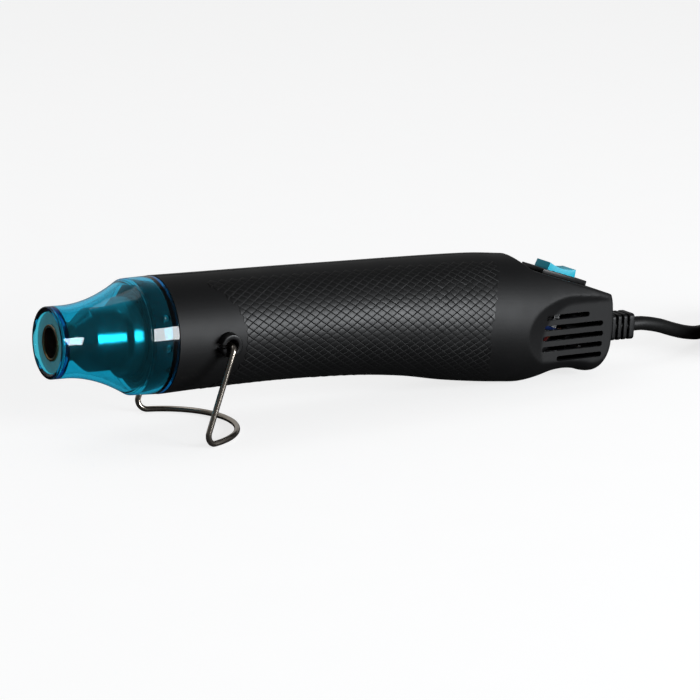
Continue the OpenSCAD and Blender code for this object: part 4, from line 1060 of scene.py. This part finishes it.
class HEATTOOL_OT_guard(bpy.types.Operator):
    """Turn the clear nozzle guard, its black seat ring and the stepped heat shield"""
    bl_idname = "heattool.guard"
    bl_label = "Guard and heat shield"

    def execute(self, context):
        flare_xs = [FLARE_X + (SHOULDER_X - FLARE_X) * k / 18 for k in range(19)]
        outer = [(11.2, 0.55, 0.3), (12.0, 0.0, 0.5), (RIM_R, 0.0, 0.9)]
        outer += [(flare(x), x, 0) for x in flare_xs[:-1]]
        outer += [(SHOULDER_R, SHOULDER_X, 0.3), (SHOULDER_R - 0.22, SHOULDER_X + 0.45, 0.1),
                  (SHOULDER_R + 0.03, SHOULDER_X + 0.9, 0.15), (COLLAR_R, SEAM - 0.1, 0.35)]
        inner = [(SPIGOT_R, SEAM - 0.1, 0), (SPIGOT_R, SEAM + 3.8, 0), (19.3, SEAM + 3.8, 0.1),
                 (19.3, SEAM + 5.8, 0.1), (SPIGOT_R, SEAM + 5.8, 0), (SPIGOT_R, SEAM + 8, 0.2),
                 (HOLDER_R, SEAM + 8, 0.2), (HOLDER_R, SEAM - WALL, 0.2),
                 (COLLAR_R - WALL - 0.2, SEAM - WALL, 0.6)]
        inner += [(flare(x) - WALL, x, 0) for x in reversed(flare_xs)]
        inner += [(11.2, 3.45, 0.4), (6.9, 3.45, 0.1), (6.9, 1.85, 0.1), (11.2, 1.85, 0.15)]
        guard = turned("guard", rounded(outer + inner, 0.2, steps=4), 128)
        for side in (-1, 1):
            for angle in DENT_ANGLES:
                self.dimple(guard, side, math.radians(side * angle))
        finished(guard, "body", "guard_teal", "nozzle_guard", angle=30)
        disc = turned("guard_disc", rounded([(6.95, 1.4), (11.15, 1.4), (11.15, 1.82),
                                             (6.95, 1.82)], 0.08), 96)
        finished(disc, "body", "guard_frosted", slot="guard_teal")
        self.seat_ring()
        self.shield()
        return {"FINISHED"}

    def dimple(self, guard, side, turn):
        """Small round dent in the collar, where the guard is staked."""
        bpy.ops.mesh.primitive_uv_sphere_add(segments=24, ring_count=12, radius=DENT_R * MM,
                                             location=(DENT_X * MM, 0, 0))
        ball = started("dent")
        ball.data.transform(Matrix.Rotation(turn, 4, "X")
                            @ Matrix.Translation((0, side * (COLLAR_R + 0.2) * MM, 0)))
        carve(guard, ball)

    def seat_ring(self):
        """Black ring inside the collar, notched above and below for the guard's tabs."""
        ring = turned("seat_ring", rounded(
            [(17.0, 33.6), (19.6, 33.6), (19.6, 40.6), (17.0, 40.6)], 0.3), 96)
        for z0, z1 in ((10, 24), (-24, -10)):
            carve(ring, brick("notch", (35.0, -4.5, z0), (39.4, 4.5, z1)))
        finished(ring, "body", "holder_black")

    def shield(self):
        """Stepped tube with drawn corners and a rolled mouth."""
        profile = [(5.6, 0.95, 0.45), (6.8, 0.95, 0.45), (6.8, 9.15, 0.8), (11.5, 14.55, 0.9),
                   (11.5, 26.55, 0.5), (14.7, 27.35, 0.7), (14.7, 65.95, 0.1),
                   (14.1, 65.95, 0.1), (14.1, 27.95, 0.4), (10.9, 27.15, 0.3),
                   (10.9, 14.85, 0.5), (5.6, 9.45, 0.4)]
        shield = turned("shield", rounded(profile, 0.3, steps=4), 128)
        finished(shield, "body", "shield_metal", "heat_shield", angle=30)


# Switch

class HEATTOOL_OT_switch(bpy.types.Operator):
    """Shape the switch bezel and the dished rocker"""
    bl_idname = "heattool.switch"
    bl_label = "Rocker switch"

    def execute(self, context):
        self.bezel()
        self.rocker()
        return {"FINISHED"}

    def bezel(self):
        """Frame round the rocker: inset and pushed down for the well and the body."""
        bezel = brick("switch_bezel", (-11.2, -7.5, 0), (11.2, 7.5, 2))
        select_faces(bezel, lambda c, n: n.z > 0.9)
        bpy.ops.mesh.inset(thickness=2.6 * MM, depth=0)
        bpy.ops.transform.resize(value=(15.0 / 17.2, 1, 1))
        bpy.ops.mesh.extrude_region_move(TRANSFORM_OT_translate={"value": (0, 0, -12.6 * MM)})
        leave_edit()
        select_faces(bezel, lambda c, n: n.z < -0.9 and c.z < 0.01 * MM and c.z > -MM)
        bpy.ops.mesh.inset(thickness=1.1 * MM, depth=0)
        bpy.ops.transform.resize(value=(18.8 / 20.2, 1, 1))
        bpy.ops.mesh.extrude_region_move(TRANSFORM_OT_translate={"value": (0, 0, -12.2 * MM)})
        leave_edit()
        clean(bezel)
        bevel(bezel, 0.35)
        finished(bezel, "body", "bezel_black", "switch_housing", turn=AT_SWITCH)

    def rocker(self):
        """Side outline with a dished top, pushed through and eased along its edges."""
        top, swing, end = 5.0, 7.2, 7.0 - 3 * math.tan(math.radians(9))
        points = [(swing * math.cos(math.radians(a)), swing * math.sin(math.radians(a)))
                  for arc in (range(160, 201, 8), range(-20, 21, 8)) for a in arc]
        points += [(7.0, 2.2)]
        points += [(end * k / 12, top - 1.1 * (1 - (k / 12) ** 2)) for k in range(12, -13, -1)]
        points += [(-7.0, 2.2)]
        rocker = slab("rocker_button", points, -4.6, 4.6)
        bevel(rocker, 0.35, angle=40)
        carve(rocker, self.bar("plunger_bore", 1.35, -10, 1.6))
        axle = peg("axle", 0, 0, -5.8, 5.8, 1.2)
        carve(rocker, axle, "UNION")
        finished(rocker, "rocker", "rocker_cyan", "rocker", turn=AT_SWITCH, angle=30)

    def bar(self, name, radius, z0, z1):
        bpy.ops.mesh.primitive_cylinder_add(
            vertices=32, radius=radius * MM, depth=(z1 - z0) * MM,
            location=(0, 0, (z0 + z1) / 2 * MM))
        return started(name)


# Strain relief

RIB_HALF_W, RIB_HALF_H = 4.7, 5.3


class HEATTOOL_OT_relief(bpy.types.Operator):
    """Turn the strain relief's core and add its flat-sided ribs"""
    bl_idname = "heattool.relief"
    bl_label = "Strain relief"

    def execute(self, context):
        end, ribs, core = REAR + RELIEF_LEN, 5, 3.9
        relief = turned("relief", rounded(
            [(2.92, REAR - 3.8), (6.2, REAR - 3.8, 0.2), (6.2, REAR - 2.0, 0.2),
             (4.3, REAR - 2.0), (4.3, REAR + 0.5, 0.2), (core, REAR + 0.5), (core, end, 0.5),
             (2.92, end, 0.2)], 0.1, steps=3), 72)
        first, last, last_end = REAR + 1.4, end - 3.6, end - 1
        pitch = (last - first) / ribs
        spans = [(first + k * pitch, first + (k + 0.66) * pitch) for k in range(ribs)]
        for x0, x1 in spans + [(last, last_end)]:
            carve(relief, self.rib(x0, x1), "UNION")
        relief.data.transform(Matrix.Translation((0, 0, RELIEF_Z * MM)))
        finished(relief, "body", "relief_black", "strain_relief", angle=40)
        return {"FINISHED"}

    def rib(self, x0, x1):
        """Flat block with rounded corners, bored for the core."""
        rib = brick("rib", (x0, -RIB_HALF_W, -RIB_HALF_H), (x1, RIB_HALF_W, RIB_HALF_H))
        select_edges(rib, lambda a, b: abs(a.x - b.x) > 0.5 * MM)
        bpy.ops.mesh.bevel(offset=1.6 * MM, segments=6)
        leave_edit()
        bevel(rib, 0.35)
        bpy.ops.mesh.primitive_cylinder_add(
            vertices=48, radius=3.4 * MM, depth=6 * MM, location=((x0 + x1) / 2 * MM, 0, 0),
            rotation=(0, math.pi / 2, 0))
        carve(rib, started("bore"))
        return rib


# Stand

WIRE_R, WIRE_Y, PIN_END_Y = 1.1, 26.6, 15.9
# The loop on the table: its radius and half its opening, and the bends that lead to it
LOOP_R, LOOP_OPEN = 28.7, math.radians(72)
FOOT_BACK, FOOT_BEND, PIVOT_BEND = 13.7, 5.4, 2.5


def wire_bend(a, p, c, t, steps):
    """Points of a wire's bend at p, t back from the corner on the ways to a and c."""
    u, v = (a - p).normalized(), (c - p).normalized()
    half = u.angle(v) / 2
    centre = p + (u + v).normalized() * t / math.cos(half)
    e1 = (p + u * t - centre).normalized()
    e2 = e1.cross(p + v * t - centre).normalized().cross(e1)
    r = t * math.tan(half)
    return [centre + r * (math.cos(q) * e1 + math.sin(q) * e2)
            for q in ((math.pi - 2 * half) * k / steps for k in range(steps + 1))]


class HEATTOOL_OT_stand(bpy.types.Operator):
    """Bend the wire stand and model its two split bushes"""
    bl_idname = "heattool.stand"
    bl_label = "Wire stand"

    def execute(self, context):
        pivot = REST @ (Vector((PIVOT_X, -WIRE_Y, PIVOT_Z)) * MM) / MM
        across, along = math.sin(LOOP_OPEN), math.cos(LOOP_OPEN)
        foot = Vector((pivot.x - FOOT_BACK, -(LOOP_R * across + FOOT_BEND * along), WIRE_R))
        loop_x = foot.x - LOOP_R * along + FOOT_BEND * across
        pin = Vector((pivot.x, -PIN_END_Y, pivot.z))
        loop = foot + FOOT_BEND * Vector((across, along, 0))
        side = [pin, pin + Vector((0, -1.5, 0))] + wire_bend(pin, pivot, foot, PIVOT_BEND, 12)
        leg_from = side[-1]
        turn = wire_bend(pivot, foot, loop, FOOT_BEND, 20)
        side += [leg_from.lerp(turn[0], k / 6) for k in range(1, 6)] + turn
        arc = [Vector((loop_x + LOOP_R * math.cos(a), LOOP_R * math.sin(a), WIRE_R))
               for a in (LOOP_OPEN * (2 * k / 60 - 1) for k in range(1, 60))]
        other = [Vector((p.x, -p.y, p.z)) for p in reversed(side)]
        wire = rounded_tube("stand", side + arc + other, WIRE_R, 5)
        only(wire)
        bpy.ops.object.convert(target="MESH")
        wire = bpy.context.object
        clean(wire)
        smooth(wire, 50)
        place_on(wire, "stand", "wire_nickel", "wire_nickel", "stand_wire")
        self.bushes()
        return {"FINISHED"}

    def bushes(self):
        """Split collar with an inner step, in which the wire's end turns."""
        profile = rounded([(1.15, -15.6, 0.1), (4.0, -15.6, 0.3), (4.0, -17.5, 0),
                           (5.2, -17.5, 0.1), (5.2, -18.7, 0.1), (4.0, -18.7, 0),
                           (4.0, -21.1, 0), (4.4, -21.1, 0.1), (4.4, -25.0, 0.5),
                           (2.5, -25.0, 0.3), (2.5, -18.9, 0.1), (1.15, -18.9, 0.1)], 0.1)
        bush = turned("bush_left", profile, 64)
        bush.data.transform(Matrix.Rotation(math.pi / 2, 4, "Z"))
        carve(bush, brick("split", (-6, -26, -0.8), (-1.5, -19.4, 0.8)))
        bush.data.transform(Matrix.Translation((PIVOT_X * MM, 0, PIVOT_Z * MM)))
        other = mirrored(bush, "bush_right")
        for piece, cad in ((bush, "left_pivot_bush"), (other, "right_pivot_bush")):
            finished(piece, "body", "bush_black", cad)


# Stage and camera

CAMERA_AT = (-0.543608, -0.910232, 0.288443)
LOOK_AT = (-0.002528, 0.0, 0.021126)
CAMERA_ROLL = math.radians(0.3133)
LENS = 147.026


KEY_AT, KEY_SIZE = (0.72, -1.29, 0.33), (0.8, 0.6)
TOP_AT, TOP_SIZE = (-0.3, 0.5, 1.4), (1.0, 0.5)
LAMPS_TOWARDS = Vector((0.0, 0.0, 0.03))
LAMP_COLOUR = (0.94, 0.97, 1.0)
# Strength of the surround: for soft light, and in mirror images in front of and behind the tool
FILL, MIRROR_FRONT, MIRROR_BEHIND = 0.28, 0.06, 0.35
FLOOR_COLOUR, FLOOR_LIFT = (0.4, 0.4, 0.4), 0.75
FLOOR_IN_MIRROR = (0.06, 0.06, 0.06, 1)
# Sockets of a Mix node that is set to colours
MIX_FACTOR, MIX_A, MIX_B, MIX_RESULT = 0, 6, 7, 2


def clear_view(owner):
    """1 for what the camera sees directly or through clear plastic, 0 for mirror images."""
    path = node(owner, "ShaderNodeLightPath")
    straight = combined(owner, "LESS_THAN", path.outputs["Glossy Depth"], 0.5)
    in_wall = combined(owner, "LESS_THAN", path.outputs["Transmission Depth"], 3.5)
    through = combined(owner, "MULTIPLY", path.outputs["Is Transmission Ray"],
                       combined(owner, "MAXIMUM", straight, in_wall))
    return combined(owner, "MAXIMUM", path.outputs["Is Camera Ray"], through)


class HEATTOOL_OT_stage(bpy.types.Operator):
    """Set the floor, the soft lamps, the white surround and the camera"""
    bl_idname = "heattool.stage"
    bl_label = "Stage"

    def execute(self, context):
        settings = context.scene.stage_settings
        self.floor()
        self.lamp("key", KEY_AT, KEY_SIZE, settings.key_power)
        self.lamp("top", TOP_AT, TOP_SIZE, settings.top_power)
        self.surround(context)
        self.camera(context)
        context.scene.view_settings.view_transform = "Standard"
        return {"FINISHED"}

    def floor(self):
        bpy.ops.mesh.primitive_plane_add(size=8, location=(0, 0, -0.0002))
        floor = started("floor")
        mat = finish("floor_white", FLOOR_COLOUR, 0.9, grain=40.0, spread=0.01,
                     bump=0.000001, specular=0.1)
        skin = skin_of(mat)
        skin.inputs["Emission Color"].default_value = (1, 1, 1, 1)
        mirror = node(mat, "ShaderNodeMix", data_type="RGBA")
        path = node(mat, "ShaderNodeLightPath")
        link(mat, path.outputs["Is Glossy Ray"], mirror.inputs[MIX_FACTOR])
        link(mat, skin.inputs["Base Color"].links[0].from_socket, mirror.inputs[MIX_A])
        mirror.inputs[MIX_B].default_value = FLOOR_IN_MIRROR
        link(mat, mirror.outputs[MIX_RESULT], skin.inputs["Base Color"])
        lift = combined(mat, "MULTIPLY", clear_view(mat), FLOOR_LIFT)
        link(mat, lift, skin.inputs["Emission Strength"])
        floor.data.materials.append(mat)

    def lamp(self, name, at, size, strength):
        light = bpy.data.lights.new(name, "AREA")
        light.shape = "RECTANGLE"
        light.size, light.size_y = size
        light.energy = strength
        light.color = LAMP_COLOUR
        lamp = bpy.data.objects.new(name, light)
        bpy.context.collection.objects.link(lamp)
        lamp.location = at
        lamp.rotation_euler = (LAMPS_TOWARDS - Vector(at)).to_track_quat("-Z", "Y").to_euler()

    def surround(self, context):
        """White for the camera and behind clear plastic, dim as soft light and in gloss."""
        world = bpy.data.worlds.new("surround")
        context.scene.world = world
        world.use_nodes = True
        world.node_tree.nodes.clear()
        parts = node(world, "ShaderNodeSeparateXYZ")
        link(world, node(world, "ShaderNodeTexCoord").outputs["Generated"],
             parts.inputs["Vector"])
        behind = between(world, parts.outputs["Y"], MIRROR_FRONT, MIRROR_BEHIND, 0.35, 0.75)
        path = node(world, "ShaderNodeLightPath")
        mirror = combined(world, "MAXIMUM", path.outputs["Is Glossy Ray"],
                          path.outputs["Is Transmission Ray"])
        seen = mixed(world, clear_view(world), mixed(world, mirror, FILL, behind), 1.0)
        light = node(world, "ShaderNodeBackground", Color=(1, 1, 1, 1))
        link(world, seen, light.inputs["Strength"])
        out = node(world, "ShaderNodeOutputWorld")
        link(world, light.outputs["Background"], out.inputs["Surface"])

    def camera(self, context):
        lens = bpy.data.cameras.new("camera")
        lens.lens, lens.sensor_width = LENS, 36.0
        lens.clip_start, lens.clip_end = 0.01, 50.0
        camera = bpy.data.objects.new("camera", lens)
        context.collection.objects.link(camera)
        camera.location = CAMERA_AT
        look = (Vector(LOOK_AT) - Vector(CAMERA_AT)).to_track_quat("-Z", "Y").to_matrix()
        roll = Matrix.Rotation(CAMERA_ROLL, 3, "Z")
        camera.rotation_euler = (look @ roll).to_euler()
        context.scene.camera = camera


class HEATTOOL_PT_panel(bpy.types.Panel):
    """Lists the pieces in the 3D view's sidebar"""
    bl_label = "Heat Tool"
    bl_idname = "HEATTOOL_PT_panel"
    bl_space_type = "VIEW_3D"
    bl_region_type = "UI"
    bl_category = "Heat Tool"

    def draw(self, context):
        for name in OPERATORS:
            self.layout.operator(f"heattool.{name}")
        for group in ("grip_sizes", "tool_colours", "stage_settings"):
            settings = getattr(context.scene, group)
            box = self.layout.box()
            for prop in settings.bl_rna.properties:
                if prop.identifier not in ("rna_type", "name"):
                    box.prop(settings, prop.identifier)


# The camera and the cord come first, after the finishes they need
OPERATORS = ("materials", "stage", "cord", "grip", "pattern", "guard", "switch", "relief",
             "stand")
CLASSES = (
    GripSizes, ToolColours, StageSettings, HEATTOOL_OT_materials, HEATTOOL_OT_stage,
    HEATTOOL_OT_cord, HEATTOOL_OT_grip, HEATTOOL_OT_pattern, HEATTOOL_OT_guard,
    HEATTOOL_OT_switch, HEATTOOL_OT_relief, HEATTOOL_OT_stand, HEATTOOL_PT_panel,
)


def register():
    for kind in CLASSES:
        bpy.utils.register_class(kind)
    bpy.types.Scene.grip_sizes = PointerProperty(type=GripSizes)
    bpy.types.Scene.tool_colours = PointerProperty(type=ToolColours)
    bpy.types.Scene.stage_settings = PointerProperty(type=StageSettings)


def unregister():
    for group in ("grip_sizes", "tool_colours", "stage_settings"):
        delattr(bpy.types.Scene, group)
    for kind in reversed(CLASSES):
        bpy.utils.unregister_class(kind)


def main():
    register()
    for name in OPERATORS:
        getattr(bpy.ops.heattool, name)()


if __name__ == "__main__":
    main()
